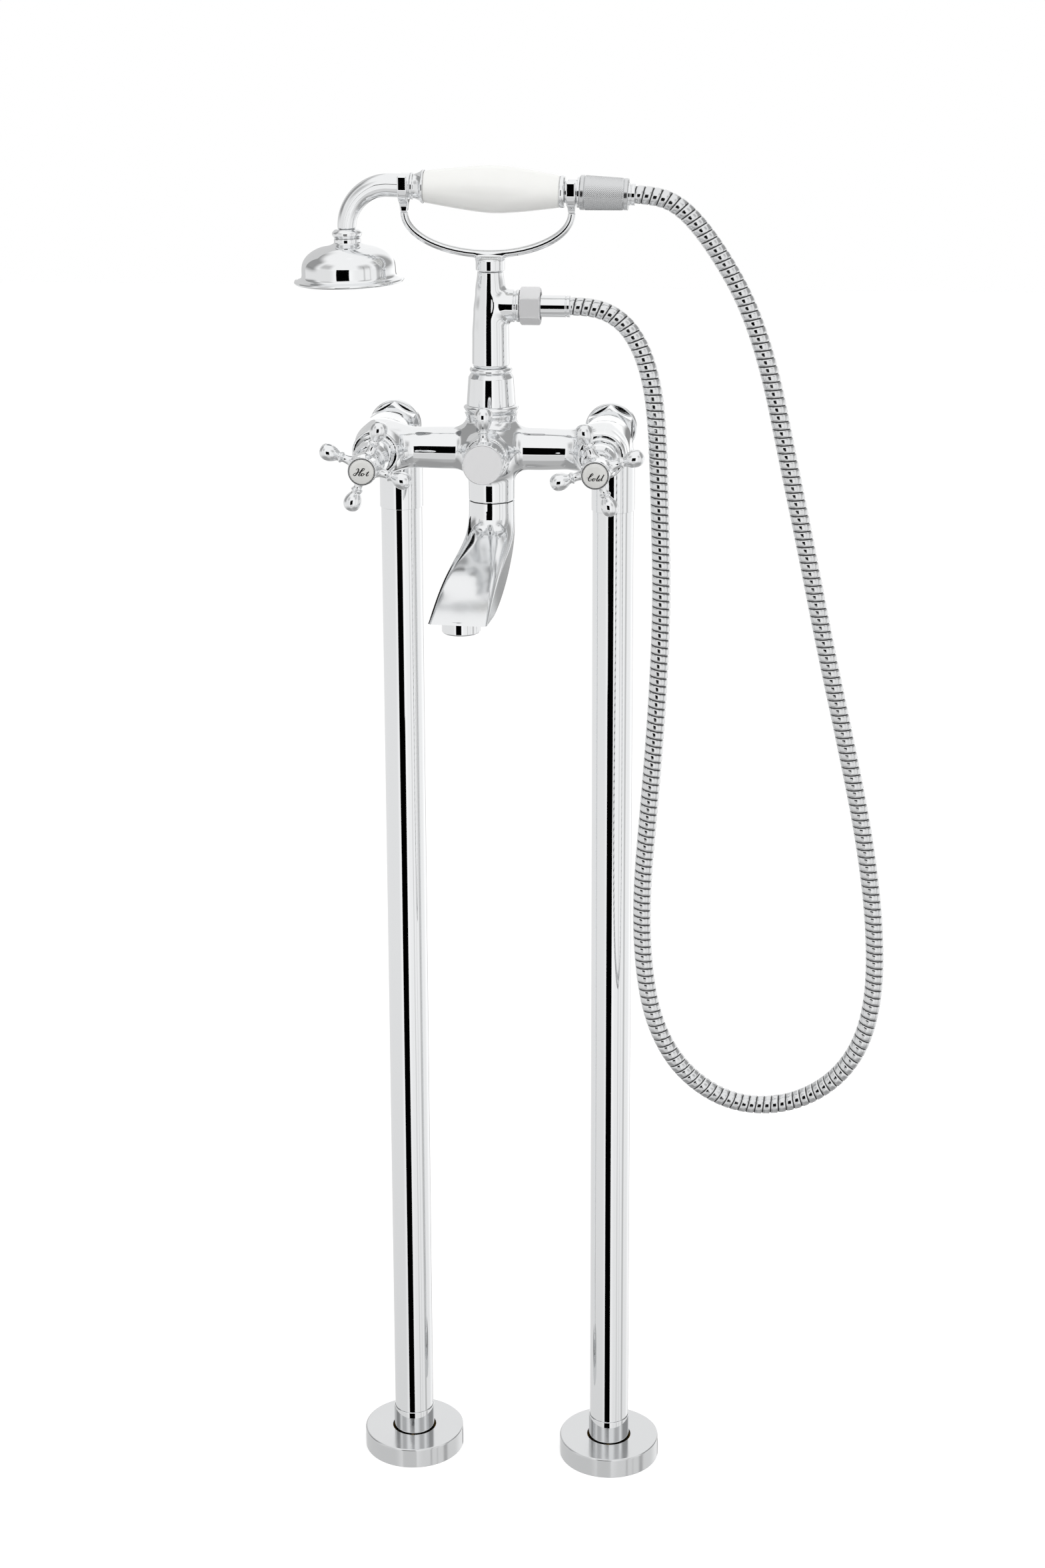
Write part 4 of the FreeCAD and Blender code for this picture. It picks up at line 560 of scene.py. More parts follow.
def carried(node, corners, path, sides=96, finish=None, closed=None, relief=None):
    """Surface centre(s) + r * (cos a * side + sin a * binormal) for a profile (r, s) and angles a.

    A profile that starts and ends on the axis closes in a pole at each end; any
    other is a closed loop, which makes a hollow piece.  relief(a, s) adds to r.
    The normal at a point is square to the sum of the two sides' directions, each
    times its length squared, so a long flat stays flat and its fillet takes the turn.
    """
    closed = corners[0][0] > 1e-6 if closed is None else closed
    line = rounded(corners, closed)
    if closed:
        chords = np.roll(line, -1, axis=0) - line
        before = np.roll(chords, 1, axis=0)
    else:
        chords = np.vstack([np.diff(line, axis=0), line[-1:] - line[-2:-1]])
        before = np.vstack([chords[:1], chords[:-1]])
    slope = (chords * np.linalg.norm(chords, axis=1)[:, None]
             + before * np.linalg.norm(before, axis=1)[:, None])
    radial, axial = slope[:, 1], -slope[:, 0]
    size = np.hypot(radial, axial)
    radial, axial = radial / size, axial / size
    centre, way, binormal = path(line[:, 1])
    across = np.cross(binormal, way)
    angle = np.linspace(0, 2 * math.pi, sides, endpoint=False)[None, :, None]
    spoke = np.cos(angle) * across[:, None] + np.sin(angle) * binormal
    reach = np.broadcast_to(line[:, 0][:, None, None], (len(line), sides, 1))
    if relief is not None:
        reach = reach + relief(angle[..., 0], line[:, 1][:, None])[..., None]
    points = centre[:, None] + reach * spoke
    normals = radial[:, None, None] * spoke + axial[:, None, None] * way[:, None]
    grid = np.arange(len(line) * sides).reshape(-1, sides)
    if closed:
        below, above = grid, np.roll(grid, -1, axis=0)
        points, normals, extra = points.reshape(-1, 3), normals.reshape(-1, 3), []
    else:
        inner = grid[1:-1] - sides
        below, above = inner[:-1], inner[1:]
        points = np.vstack([points[1:-1].reshape(-1, 3), points[0, :1], points[-1, :1]])
        normals = np.vstack([normals[1:-1].reshape(-1, 3), -way[:1], way[-1:]])
        extra = fan(len(points) - 2, inner[0][::-1]) + fan(len(points) - 1, inner[-1])
    piece = put(node + "_dress", points, rings_joined(below, above) + extra,
                None if relief is not None else normals, finish or finish_of_slot[slot_of_node[node]])
    return stands_for(piece, node)


UP, FRONT, RIGHT = (0, 0, 1), (0, -1, 0), (1, 0, 0)

# %% [markdown]
# Each standpipe stands in a round cover that hides its floor screws.  The cover
# is a spun cap, the tube is plain, and a thin sleeve closes the joint.

# %% Feet and standpipes
PIPE_X = {"left": -75.0, "right": 75.0}
PIPE_RADIUS = 14.5
SLEEVE_BORE, SLEEVE_RADIUS = 14.65, 15.25

for word, x in PIPE_X.items():
    upright = straight((x, 0, 0), UP)
    carried(word + "_base_cover", [
        (35.5, 0), (37.5, 0), (37.5, 15, 1.1), (16.5, 15, 0.3), (16.5, 13), (35.5, 13),
    ], upright, 128, cover_chrome)
    carried(word + "_standpipe", [
        (13.3, 5), (PIPE_RADIUS, 5), (PIPE_RADIUS, 771), (13.3, 771),
    ], upright, 128)
    carried(word + "_foot_sleeve", [
        (SLEEVE_BORE, 5, 0.1), (SLEEVE_RADIUS, 5, 0.1), (SLEEVE_RADIUS, 32.5, 0.25), (SLEEVE_BORE, 32.5, 0.1),
    ], upright, 128)

# %% [markdown]
# At the top an elbow turns each pipe toward the bather.  It is cast in one with
# its collar, so one profile runs up the sleeve, round the bend and out to the tail.

# %% Elbows
BAR_Z, BAR_Y = 804.0, -98.0
ELBOW_RADIUS = 20.0
ELBOW_FOOT_Z, ELBOW_TAIL_Y = 741.0, -30.0
ELBOW_TUBE_RADIUS, ELBOW_COLLAR_RADIUS = 14.0, 17.75
BEND_ON = BAR_Z - ELBOW_RADIUS - ELBOW_FOOT_Z
BEND_OFF = BEND_ON + math.pi / 2 * ELBOW_RADIUS


def elbow_path(x):
    """Dense points (y, z): upright, then a quarter circle of cosine and sine, then straight ahead."""
    turn = np.linspace(0, math.pi / 2, 40)[1:-1]
    spring = BAR_Z - ELBOW_RADIUS
    upright = np.stack([0 * turn, np.linspace(ELBOW_FOOT_Z, spring, len(turn))], 1)
    bend = np.stack([ELBOW_RADIUS * (np.cos(turn) - 1), spring + ELBOW_RADIUS * np.sin(turn)], 1)
    ahead = np.stack([np.linspace(-ELBOW_RADIUS, ELBOW_TAIL_Y, 12), np.full(12, BAR_Z)], 1)
    line = np.vstack([upright, bend, ahead])
    return bent(np.insert(line, 0, x, axis=1), (-1, 0, 0))


bend_rows = [(ELBOW_TUBE_RADIUS, s, 0) for s in np.linspace(BEND_ON + 1, BEND_OFF - 2, 30)]
for word, x in PIPE_X.items():
    carried(word + "_pipe_elbow", [
        (SLEEVE_BORE, 0, 0.1), (SLEEVE_RADIUS, 0, 0.25), (SLEEVE_RADIUS, 40, 1.5), *bend_rows,
        (ELBOW_TUBE_RADIUS, BEND_OFF - 0.2, 0.6), (ELBOW_COLLAR_RADIUS, BEND_OFF + 0.2, 1.3),
        (ELBOW_COLLAR_RADIUS, BEND_OFF + 6.5, 1.3), (10, BEND_OFF + 6.6), (10, BEND_OFF + 8),
        (12, BEND_OFF + 8), (12, BEND_OFF + 9.4), (6.5, BEND_OFF + 9.4), (6.5, BEND_OFF - 4), (13, 42),
        (SLEEVE_BORE, 30.2),
    ], elbow_path(x), 96)

# %% [markdown]
# The unions and the hose outlet have hexagonal nuts.  A hexagon's radius by
# angle is its half width over the cosine of the angle to the nearest flat; a
# high power mean of the six flats rounds its corners, and a cone bevels them.

# %% Hexagonal nuts
CORNER_POWER = 60.0
BEVEL = math.radians(30)
BEVEL_DEEP = 2.2
OUTLET_Z = 899.9


def hexagonal(node, flats, bore, start, length, path, finish=None):
    """A ring whose outer radius is the lesser of the hexagon's and of the cones that bevel its two ends."""
    half = flats / 2
    steps = np.concatenate([np.linspace(0, BEVEL_DEEP, 8), np.linspace(3, length - 3, 5),
                            np.linspace(length - BEVEL_DEEP, length, 8)])
    outer = [(half, start + s, 0) for s in steps]
    is_outer = np.array([False] + [True] * len(outer) + [False])[:, None]

    def relief(angle, along):
        """What the outer rows add to half the width over flats; the bore adds nothing."""
        to_flats = angle[..., None] - math.pi / 6 - np.arange(6) * math.pi / 3
        spread = (np.maximum(np.cos(to_flats), 0) ** CORNER_POWER).sum(-1)
        hexagon = half / spread ** (1 / CORNER_POWER)
        inset = np.minimum(along - start, start + length - along)
        cone = half * 1.02 + inset / math.tan(BEVEL)
        return np.where(is_outer, np.minimum(hexagon, cone) - half, 0)

    corners = [(bore, start, 0)] + outer + [(bore, start + length, 0)]
    piece = carried(node, corners, path, 144, finish, True, relief)
    piece.data.set_sharp_from_angle(angle=math.radians(25))


for word, x in PIPE_X.items():
    hexagonal(word + "_union_nut", 30.0, 12.2, 26.6, 14.8, straight((x, 0, BAR_Z), FRONT))
hexagonal("hose_outlet_nut", 22.3, 9.2, 19.9, 13.4, straight((0, BAR_Y, OUTLET_Z), RIGHT), nut_chrome)

# %% [markdown]
# The mixer is one casting whose branches melt into each other.  Each branch is a
# simple field, below zero inside the metal, and a smooth minimum of the fields
# fills the corners as a moulder's fillets do.  The surface where that minimum is
# zero is caught on a fine grid, and every point is then moved onto it.

# %% A skin for a field
NEWTON_STEPS = 4


def smooth_min(one, two, width):
    """The lesser of two fields, with a quadratic fillet where they differ by under width."""
    near = np.maximum(width - np.abs(one - two), 0) / width
    return np.minimum(one, two) - near ** 2 * width / 4


def smooth_max(one, two, width):
    """The greater of two fields, with the same fillet."""
    return -smooth_min(-one, -two, width)


def skin(field, low, high, cell):
    """Points, quads and normals where field(x, y, z) is zero.

    Each edge of the grid with a change of sign is crossed at its share a / (a - b).
    A cell gets one point, the mean of the crossings on its edges, and each crossed
    edge gets one quad through the four cells round it.  Each point then takes a few
    Newton steps along the slope, value times slope over slope squared.
    """
    axes = [np.arange(a, b + cell, cell) for a, b in zip(low, high)]
    grid = np.meshgrid(*axes, indexing="ij")
    value = field(*grid)
    inside = value < 0
    counts = np.array(value.shape) - 1
    corner_sum, corner_hits = np.zeros((*counts, 3)), np.zeros(tuple(counts))
    for axis in range(3):
        first, second = [slice(None)] * 3, [slice(None)] * 3
        first[axis], second[axis] = slice(0, -1), slice(1, None)
        a, b = value[tuple(first)], value[tuple(second)]
        hit = (a < 0) != (b < 0)
        share = np.where(hit, a / np.where(hit, a - b, 1), 0)
        spot = np.stack([part[tuple(first)] for part in grid], -1)
        spot[..., axis] += share * cell
        others = [other for other in range(3) if other != axis]
        for shift_a in (0, 1):
            for shift_b in (0, 1):
                pick = [slice(None)] * 3
                pick[others[0]] = slice(shift_a, shift_a + counts[others[0]])
                pick[others[1]] = slice(shift_b, shift_b + counts[others[1]])
                corner_sum += np.where(hit[tuple(pick)][..., None], spot[tuple(pick)], 0)
                corner_hits += hit[tuple(pick)]
    used = corner_hits > 0
    index = np.full(tuple(counts), -1)
    index[used] = np.arange(used.sum())
    points = corner_sum[used] / corner_hits[used][:, None]
    quads = []
    for axis in range(3):
        first, second = [slice(1, -1)] * 3, [slice(1, -1)] * 3
        first[axis], second[axis] = slice(0, -1), slice(1, None)
        here, there = inside[tuple(first)], inside[tuple(second)]
        one, two = [other for other in range(3) if other != axis]
        cells = []
        for shift_a, shift_b in ((0, 0), (1, 0), (1, 1), (0, 1)):
            pick = [None] * 3
            pick[axis] = slice(None)
            pick[one] = slice(shift_a, counts[one] - 1 + shift_a)
            pick[two] = slice(shift_b, counts[two] - 1 + shift_b)
            cells.append(index[tuple(pick)])
        around = np.stack(cells, -1)
        flip = axis == 1
        for mask, reverse in ((here & ~there, flip), (~here & there, not flip)):
            chosen = around[mask]
            quads.append(chosen[:, ::-1] if reverse else chosen)
    quads = np.vstack(quads)
    for _ in range(NEWTON_STEPS):
        slope, level_here = gradient(field, points)
        points = points - slope * (level_here / np.maximum((slope ** 2).sum(1), 1e-9))[:, None]
    return points, quads, unit(gradient(field, points)[0])


def gradient(field, points, step=0.02):
    """Slope of a field by central differences, and its value."""
    slopes = []
    for axis in range(3):
        ahead, behind = points.copy(), points.copy()
        ahead[:, axis] += step
        behind[:, axis] -= step
        slopes.append((field(*ahead.T) - field(*behind.T)) / (2 * step))
    return np.stack(slopes, 1), field(*points.T)


def radius_by(stations, along):
    """Radius that follows (distance, radius) stations; between two it moves over by s * s * (3 - 2 s)."""
    places = np.array([station[0] for station in stations], float)
    sizes = np.array([station[1] for station in stations], float)
    right = np.clip(np.searchsorted(places, along), 1, len(places) - 1)
    share = np.clip((along - places[right - 1]) / (places[right] - places[right - 1]), 0, 1)
    ease = share * share * (3 - 2 * share)
    return sizes[right - 1] + (sizes[right] - sizes[right - 1]) * ease


def post(off_axis, along, stations, round_edge=1.0):
    """Field of a turned post: distance from its axis less its radius, cut off at both ends."""
    wall = off_axis - radius_by(stations, along)
    ends = np.maximum(stations[0][0] - along, along - stations[-1][0])
    return smooth_max(wall, ends, round_edge * 2)


# %% [markdown]
# Each branch of the casting is a post: a distance from its own axis less a radius
# that swells and narrows along it.  The bar lies across, the housings and the
# boss of the diverter point forward, and the core stands upright in the middle.
# The two halves are alike, so the field reads only how far a place is from the
# middle, and one housing serves both sides.

# %% Mixer body
VALVE_X = PIPE_X["right"]
CORE_FOOT_Z, CORE_TOP_Z = 769.3, 829.3
HOUSING_ENDS = 121


def mixer_field(x, y, z):
    """Bar, two valve housings, the upright core and the diverter boss, melted together."""
    ahead, rise, along = -y, z - BAR_Z, np.abs(x)
    bar = np.hypot(y - BAR_Y, rise) - radius_by([(0, 14.4), (30, 14.3), (58, 13.4), (VALVE_X, 13)], along)
    bar = smooth_max(bar, along - VALVE_X, 4)
    housing = post(np.hypot(along - VALVE_X, rise), ahead, [
        (31.5, 12), (44, 12.2), (64, 16.6), (98, 17.2), (108, 16.2), (113, 15.5), (HOUSING_ENDS, 15.5)], 0.7)
    core = post(np.hypot(x, y - BAR_Y), z, [
        (CORE_FOOT_Z, 15.3), (784, 15.4), (797, 18.2), (811, 18.4), (824, 16.4), (CORE_TOP_Z, 17.6)], 0.5)
    boss = post(np.hypot(x, rise), ahead, [(80, 17), (112, 16.4), (124, 14.5), (134, 14.5)], 0.5)
    whole = smooth_min(bar, housing, 13)
    whole = smooth_min(whole, core, 9)
    return smooth_min(whole, boss, 7)


points, quads, normals = skin(mixer_field, (-94, -136, 767), (94, -29, 832), 0.9)
body = put("mixer_body_dress", points, quads.tolist(), normals)
stands_for(body, "mixer_body")
print("mixer body:", len(points), "points,", len(quads), "faces")

# %% [markdown]
# Between a housing and its handle sits a cup that hides the valve.  It is turned,
# with a small lip where it meets the housing and a hole for the spindle.

# %% Valve shrouds
for word, x in PIPE_X.items():
    carried(word + "_valve_shroud", [
        (9.5, 0), (13.2, 0, 0.4), (13.2, 1.6, 0.5), (12, 2.8, 0.8), (12, 20.5, 2.5), (10.5, 25.5, 0.5),
        (4.3, 25.5, 0.1), (4.3, 23.5, 0.1), (9.5, 23.5, 0.3),
    ], straight((x, -HOUSING_ENDS, BAR_Z), FRONT))

# %% [markdown]
# A cross handle is a hub with four turned arms, each with a flared root, a thin
# neck, a bead and an egg shaped knob.  The same fields and the same skin give
# one cross, which is turned and placed twice.

# %% Cross handles
HANDLE_BACK = 146.8
ARMS_LEVEL, RECESS_LEVEL, RECESS_RADIUS = 15, 20, 6.3
ARM = flowing([
    (0, 5.4), (5.5, 5.2), (9.0, 3.9), (12.0, 3.0), (14.4, 2.6), (15.5, 2.8), (16.3, 3.9), (17.2, 3.9),
    (18.0, 2.8), (19.4, 3.4), (21.6, 5.0), (24.6, 5.85), (27.6, 5.7), (29.8, 4.6), (31.0, 3.0),
    (31.5, 1.7)], 6)
HANDLES = {"hot": (PIPE_X["left"], 20.6), "cold": (PIPE_X["right"], -18.5)}


def cross_field(x, y, z):
    """Hub along the field's y axis and four arms in its x-z plane, less the recess for the button."""
    whole = post(np.hypot(x, z), y, [(0, 7.4), (4, 8.4), (12, 9.2), (27, 8.9)], 0.6)
    for side, along in ((z, x), (z, -x), (x, z), (x, -z)):
        arm = np.hypot(side, y - ARMS_LEVEL) - np.interp(along, ARM[:, 0], ARM[:, 1])
        whole = smooth_min(whole, smooth_max(arm, np.maximum(-along, along - ARM[-1, 0]), 0.8), 2.4)
    recess = np.maximum(np.hypot(x, z) - RECESS_RADIUS, RECESS_LEVEL - y)
    return smooth_max(whole, -recess, 0.4)


points, quads, normals = skin(cross_field, (-33, -1, -33), (33, 28, 33), 0.5)
mirror_y = np.diag([1.0, -1.0, 1.0])
for word, (x, turn) in HANDLES.items():
    c, s = math.cos(math.radians(turn)), math.sin(math.radians(turn))
    spin = np.array([[c, 0, s], [0, 1, 0], [-s, 0, c]])
    placed = points @ mirror_y @ spin.T + (x, -HANDLE_BACK, BAR_Z)
    cross = put(word + "_handle_cross_dress", placed, quads[:, ::-1].tolist(), normals @ mirror_y @ spin.T)
    stands_for(cross, word + "_handle_cross")
print("cross:", len(points), "points,", len(quads), "faces")

# %% [markdown]
# A porcelain button sits in a polished ring on each hub.  Its face is slightly
# crowned, as fired porcelain is, so the glaze catches one soft light.

# %% Buttons and their rings
RING_BACK, BUTTON_BACK = 170.5, 174.6

for word, (x, _) in HANDLES.items():
    carried(word + "_button_ring", [
        (8.65, 0), (9.4, 0, 0.4), (9.5, 5.6, 0.8), (9.1, 8, 0.45), (8.05, 8, 0.25), (8.05, 4.2), (6.5, 4.2),
        (6.5, 3.4), (8.65, 3.3),
    ], straight((x, -RING_BACK, BAR_Z), FRONT))
    carried(word + "_handle_button", [
        (0, 0), (7.9, 0), (7.9, 4.2, 0.4), (6, 4.75, 3), (3, 5.2, 3), (0, 5.35),
    ], straight((x, -BUTTON_BACK, BAR_Z), FRONT), 96, button_porcelain_painted_shade)

# %% [markdown]
# "Hot" and "Cold" are written on the buttons in a running hand.  Each stroke is
# a smooth curve through a few points, and a round pen swells and thins along it.

# %% Lettering
PEN = 0.44
INK_HEIGHT = 0.05
HOT_STROKES = [
    [(-3.4, 1.1), (-3.1, 1.8), (-2.4, 2.25), (-1.65, 2.1), (-1.7, 1.3), (-2.3, 0.0), (-3.3, -1.5),
     (-4.4, -2.4), (-5.1, -2.25), (-5.2, -1.6), (-4.3, -0.9), (-2.6, -0.35), (-0.3, 0.5), (1.4, 1.3),
     (2.2, 2.0), (1.9, 2.6), (1.1, 2.35), (0.3, 1.35), (-0.6, -0.15), (-1.5, -1.6), (-1.5, -2.25),
     (-0.9, -2.4), (-0.1, -1.95)],
    [(1.4, -0.9), (0.7, -0.8), (0.05, -1.3), (-0.1, -2.0), (0.35, -2.35), (1.1, -2.1), (1.55, -1.45),
     (1.4, -0.9), (1.95, -1.2), (2.8, -1.0)],
    [(4.9, 0.65), (4.25, -0.3), (3.5, -1.4), (3.3, -2.15), (3.75, -2.4), (4.3, -2.05), (4.8, -1.4)],
    [(3.3, -0.35), (4.2, -0.15), (5.1, 0.25)],
]
COLD_STROKES = [
    [(-5.0, -1.2), (-4.3, -1.05), (-3.2, -0.6), (-1.9, 0.4), (-1.1, 1.15), (-1.35, 1.7), (-2.0, 1.45),
     (-2.8, 0.45), (-3.6, -0.95), (-4.1, -2.1), (-3.8, -3.0), (-3.0, -3.05), (-2.3, -2.3), (-2.5, -1.75),
     (-3.0, -1.9)],
    [(-0.15, -1.5), (-0.85, -1.55), (-1.45, -2.15), (-1.5, -2.8), (-1.0, -3.0), (-0.3, -2.6), (0.05, -1.9),
     (-0.15, -1.5), (0.65, -1.8)],
    [(3.1, 1.0), (2.4, -0.15), (1.5, -1.6), (1.15, -2.6), (1.5, -3.0), (2.1, -2.5)],
    [(3.85, -1.7), (3.1, -1.8), (2.4, -2.45), (2.4, -2.95), (3.1, -2.85), (3.85, -2.1), (4.7, -0.6),
     (5.75, 1.05), (4.95, -0.45), (4.25, -1.85), (4.1, -2.6), (4.5, -2.8), (4.95, -2.3)],
]


def pen_stroke(points, steps=8, sides=10):
    """A low oval tube along a stroke.

    Its half width is the pen's, more where the stroke runs down and less where it
    runs up, and it tapers over the first and the last ninth.
    """
    line = smooth(points, steps)
    way = unit(np.gradient(line, axis=0))
    across = np.stack([-way[:, 1], way[:, 0]], 1)
    share = np.linspace(0, 1, len(line))
    down = np.clip(-way[:, 1] * 0.5 + 0.75, 0.6, 1.15)
    half = PEN * down * np.minimum(1, 0.35 + 6 * np.minimum(share, 1 - share))
    angle = np.linspace(0, 2 * math.pi, sides, endpoint=False)
    flat = line[:, None] + across[:, None] * (half[:, None] * np.cos(angle))[..., None]
    height = INK_HEIGHT * np.sin(angle)[None].repeat(len(line), 0)
    return np.concatenate([flat, height[..., None]], -1)


def lettering(name, strokes, x, body_name):
    """All strokes of a word, raised to the crown's height at their distance from the button's axis."""
    points, faces, start = [], [], 0
    for stroke in strokes:
        tube = pen_stroke(stroke)
        rows, sides = tube.shape[:2]
        grid = start + np.arange(rows * sides).reshape(rows, sides)
        faces += rings_joined(grid[:-1], grid[1:]) + [grid[0][::-1].tolist(), grid[-1].tolist()]
        points.append(tube.reshape(-1, 3))
        start += rows * sides
    flat = np.vstack(points)
    off = np.hypot(flat[:, 0], flat[:, 1])
    crown = BUTTON_BACK + np.interp(off, [0, 3, 6, 7.5], [5.33, 5.17, 4.72, 4.35])
    placed = np.stack([x + flat[:, 0], -(crown + flat[:, 2]), BAR_Z + flat[:, 1]], 1)
    word = put(name, placed, faces, None, lettering_enamel)
    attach(word, body_name)


lettering("hot_lettering", HOT_STROKES, PIPE_X["left"], "hot_handle")
lettering("cold_lettering", COLD_STROKES, PIPE_X["right"], "cold_handle")

# %% [markdown]
# The diverter is a short round cap, turned by a little lever.  The matt face is a
# sheet of its own, 0.06 mm in front of the cap, so that the turned cap can keep
# one finish, polished, round its rim.

# %% Diverter
CAP_BACK, CAP_LONG = 115.3, 36.7
FACE_Y, FACE_RADIUS, FACE_SIDES = -152.06, 12.7, 96
LEVER_Y = -144.5

carried("diverter_cap", [
    (0, 0), (7, 0), (7, 19), (13.4, 19, 0.4), (13.4, CAP_LONG, 0.7), (0, CAP_LONG),
], straight((0, -CAP_BACK, BAR_Z), FRONT), 128)
around = np.linspace(0, 2 * math.pi, FACE_SIDES, endpoint=False)
across, up = FACE_RADIUS * np.cos(around), BAR_Z + FACE_RADIUS * np.sin(around)
disc = np.vstack([np.stack([across, np.full(FACE_SIDES, FACE_Y), up], 1), [(0, FACE_Y, BAR_Z)]])
cap_face = put("diverter_face", disc, fan(FACE_SIDES, np.arange(FACE_SIDES)), None, satin_chrome)
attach(cap_face, "diverter")
carried("diverter_lever", [
    (0, 8), (5.45, 8, 0.2), (5.45, 13.6, 0.5), *curved([(4.2, 14.4), (3.0, 16.2), (2.7, 18)], 6),
    (2.7, 19.6, 0), *curved([(3.4, 20.1), (3.9, 20.6), (3.4, 21.1)], 4), (2.7, 21.6, 0),
    *curved([(3.6, 22.6), (5.0, 25.4), (6.1, 29.2), (5.9, 32.4), (4.6, 35), (2.9, 36.2)], 6), (0, 36.5),
], straight((0, LEVER_Y, BAR_Z), UP), 64)

# %% [markdown]
# The spout leaves its collar as a round tube and widens into a blade with two
# crisp edges and a flat face.  Two curves give its side view, and each section
# between them is a rounded box, whose corners tighten from a full circle.

# %% Spout
SPOUT_END = 713.5
SPOUT_TURN = math.radians(4.8)
SPOUT_REACH = 105.0
SPOUT_FRONT = [
    (15.3, 769), (15.3, 764), (15.6, 758), (19, 752), (28, 747.5), (42, 743.6), (58, 739.2), (74, 734.0),
    (89, 728.2), (102, 722.0), (112.6, 716.4), (118.0, SPOUT_END)]
SPOUT_BACK = [
    (-15.3, 769), (-15.3, 762), (-15.2, 753), (-12.5, 742), (-2, 733), (14, 726), (32, 720.5), (50, 716.6),
    (66, 714.2), (79, 713.2), (87, 713.2), (91.5, SPOUT_END)]
SPOUT_WIDE = [30.6, 30.6, 30.8, 31.6, 32.4, 33.2, 34.2, 35.2, 36.2, 37.0, 37.6, 38.0]
SPOUT_ROUND = [1, 1, 1, 0.96, 0.78, 0.56, 0.4, 0.3, 0.25, 0.22, 0.2, 0.2]
CORNER_STEPS, FLAT_STEPS = 14, 16
RIM_INSET, RECESS_DEEP = 0.3, 1.5
AERATOR_LONG = 7.5


def spout_surface():
    """Points of the skin: each section is a rounded box that spans from the back curve to the front curve.

    Each corner is a quarter circle whose radius is the roundness times the lesser half
    side, and the points of each flat divide the way between two corners evenly.
    """
    rows = flowing(np.column_stack([SPOUT_FRONT, SPOUT_BACK, SPOUT_WIDE, SPOUT_ROUND]), 10)
    front, back, wide, roundness = rows[:, :2], rows[:, 2:4], rows[:, 4] / 2, rows[:, 5]
    out = np.array([-math.sin(SPOUT_TURN), -math.cos(SPOUT_TURN), 0])
    across = np.array([math.cos(SPOUT_TURN), -math.sin(SPOUT_TURN), 0])
    middle, half = (front + back) / 2, (front - back) / 2
    deep = np.linalg.norm(half, axis=1)
    corner = roundness * np.minimum(wide, deep)
    outline = []
    for quarter, (sign_u, sign_v) in enumerate(((1, 1), (-1, 1), (-1, -1), (1, -1))):
        turn = (quarter + np.linspace(0, 1, CORNER_STEPS + 1)) * math.pi / 2
        bent_u = sign_u * (wide - corner)[:, None] + corner[:, None] * np.cos(turn)
        bent_v = sign_v * (deep - corner)[:, None] + corner[:, None] * np.sin(turn)
        outline.append(np.stack([bent_u, bent_v], 2))
    sides = []
    for quarter in range(4):
        here, there = outline[quarter], outline[(quarter + 1) % 4]
        share = np.linspace(0, 1, FLAT_STEPS + 1)[1:-1][None, :, None]
        sides += [here, here[:, -1:] * (1 - share) + there[:, :1] * share]
    flat = np.concatenate(sides, 1)
    u, v = flat[..., 0], flat[..., 1] / deep[:, None]
    side = middle[:, None] + v[..., None] * half[:, None]
    points = side[..., :1] * out + u[..., None] * across
    points[..., 2] = side[..., 1]
    return points + (0, BAR_Y, 0)


shell = spout_surface()
spout_rows, spout_sides = shell.shape[:2]
rim_in = shell[-1] + (shell[-1].mean(0) - shell[-1]) * RIM_INSET
recess_top = rim_in + (0, 0, RECESS_DEEP)
stack = np.concatenate([shell, rim_in[None], recess_top[None]])
grid = np.arange(stack.shape[0] * spout_sides).reshape(-1, spout_sides)
points = np.vstack([stack.reshape(-1, 3), [shell[0].mean(0), recess_top.mean(0)]])
faces = rings_joined(grid[:-1], grid[1:])
faces += fan(len(points) - 2, grid[0][::-1]) + fan(len(points) - 1, grid[-1])
spout = put("spout_dress", points, faces, None, spout_chrome)
spout.data.set_sharp_from_angle(angle=math.radians(40))
stands_for(spout, "spout")
outlet_x, outlet_y = -SPOUT_REACH * math.sin(SPOUT_TURN), BAR_Y - SPOUT_REACH * math.cos(SPOUT_TURN)
carried("aerator_housing", [
    (10.15, 0), (11.7, 0, 0.5), (12.3, 0.9, 0.6), (12.3, AERATOR_LONG), (11.1, AERATOR_LONG), (11.1, 9),
    (8.6, 9), (8.6, 2), (10.15, 2),
], straight((outlet_x, outlet_y, SPOUT_END - AERATOR_LONG), UP))
print("spout:", spout_rows, "sections of", spout_sides)

# %% [markdown]
# The column is a stack of turned pieces: a moulded ring, a cone, a second ring,
# and a tapering stem.  The stem is cast in one with the hose outlet.

# %% Column
COLUMN_BORE = 7
CONE_Z, TOP_RING_Z, STEM_Z = 834, 855.2, 859.2

carried("column_base_ring", [
    (COLUMN_BORE, 0), (15.8, 0, 0.4), (16.6, 0.9, 0.4),
    *curved([(17.4, 1.1), (18.3, 2.3), (18.2, 3.4), (17.2, 4.2)], 5), (16.4, 4.7, 0.3), (COLUMN_BORE, 4.7),
], straight((0, BAR_Y, CORE_TOP_Z), UP))
carried("column_cone", [
    (COLUMN_BORE, 0), (16.25, 0, 0.3), (14.9, 18.4, 1.2), (13.2, 21.2, 0.5), (COLUMN_BORE, 21.2),
], straight((0, BAR_Y, CONE_Z), UP))
carried("column_top_ring", [
    (COLUMN_BORE, 0), (12.9, 0, 0.3), *curved([(13.4, 0.35), (14.4, 2.0), (13.4, 3.65)], 6),
    (12.9, 4, 0.3), (COLUMN_BORE, 4),
], straight((0, BAR_Y, TOP_RING_Z), UP))


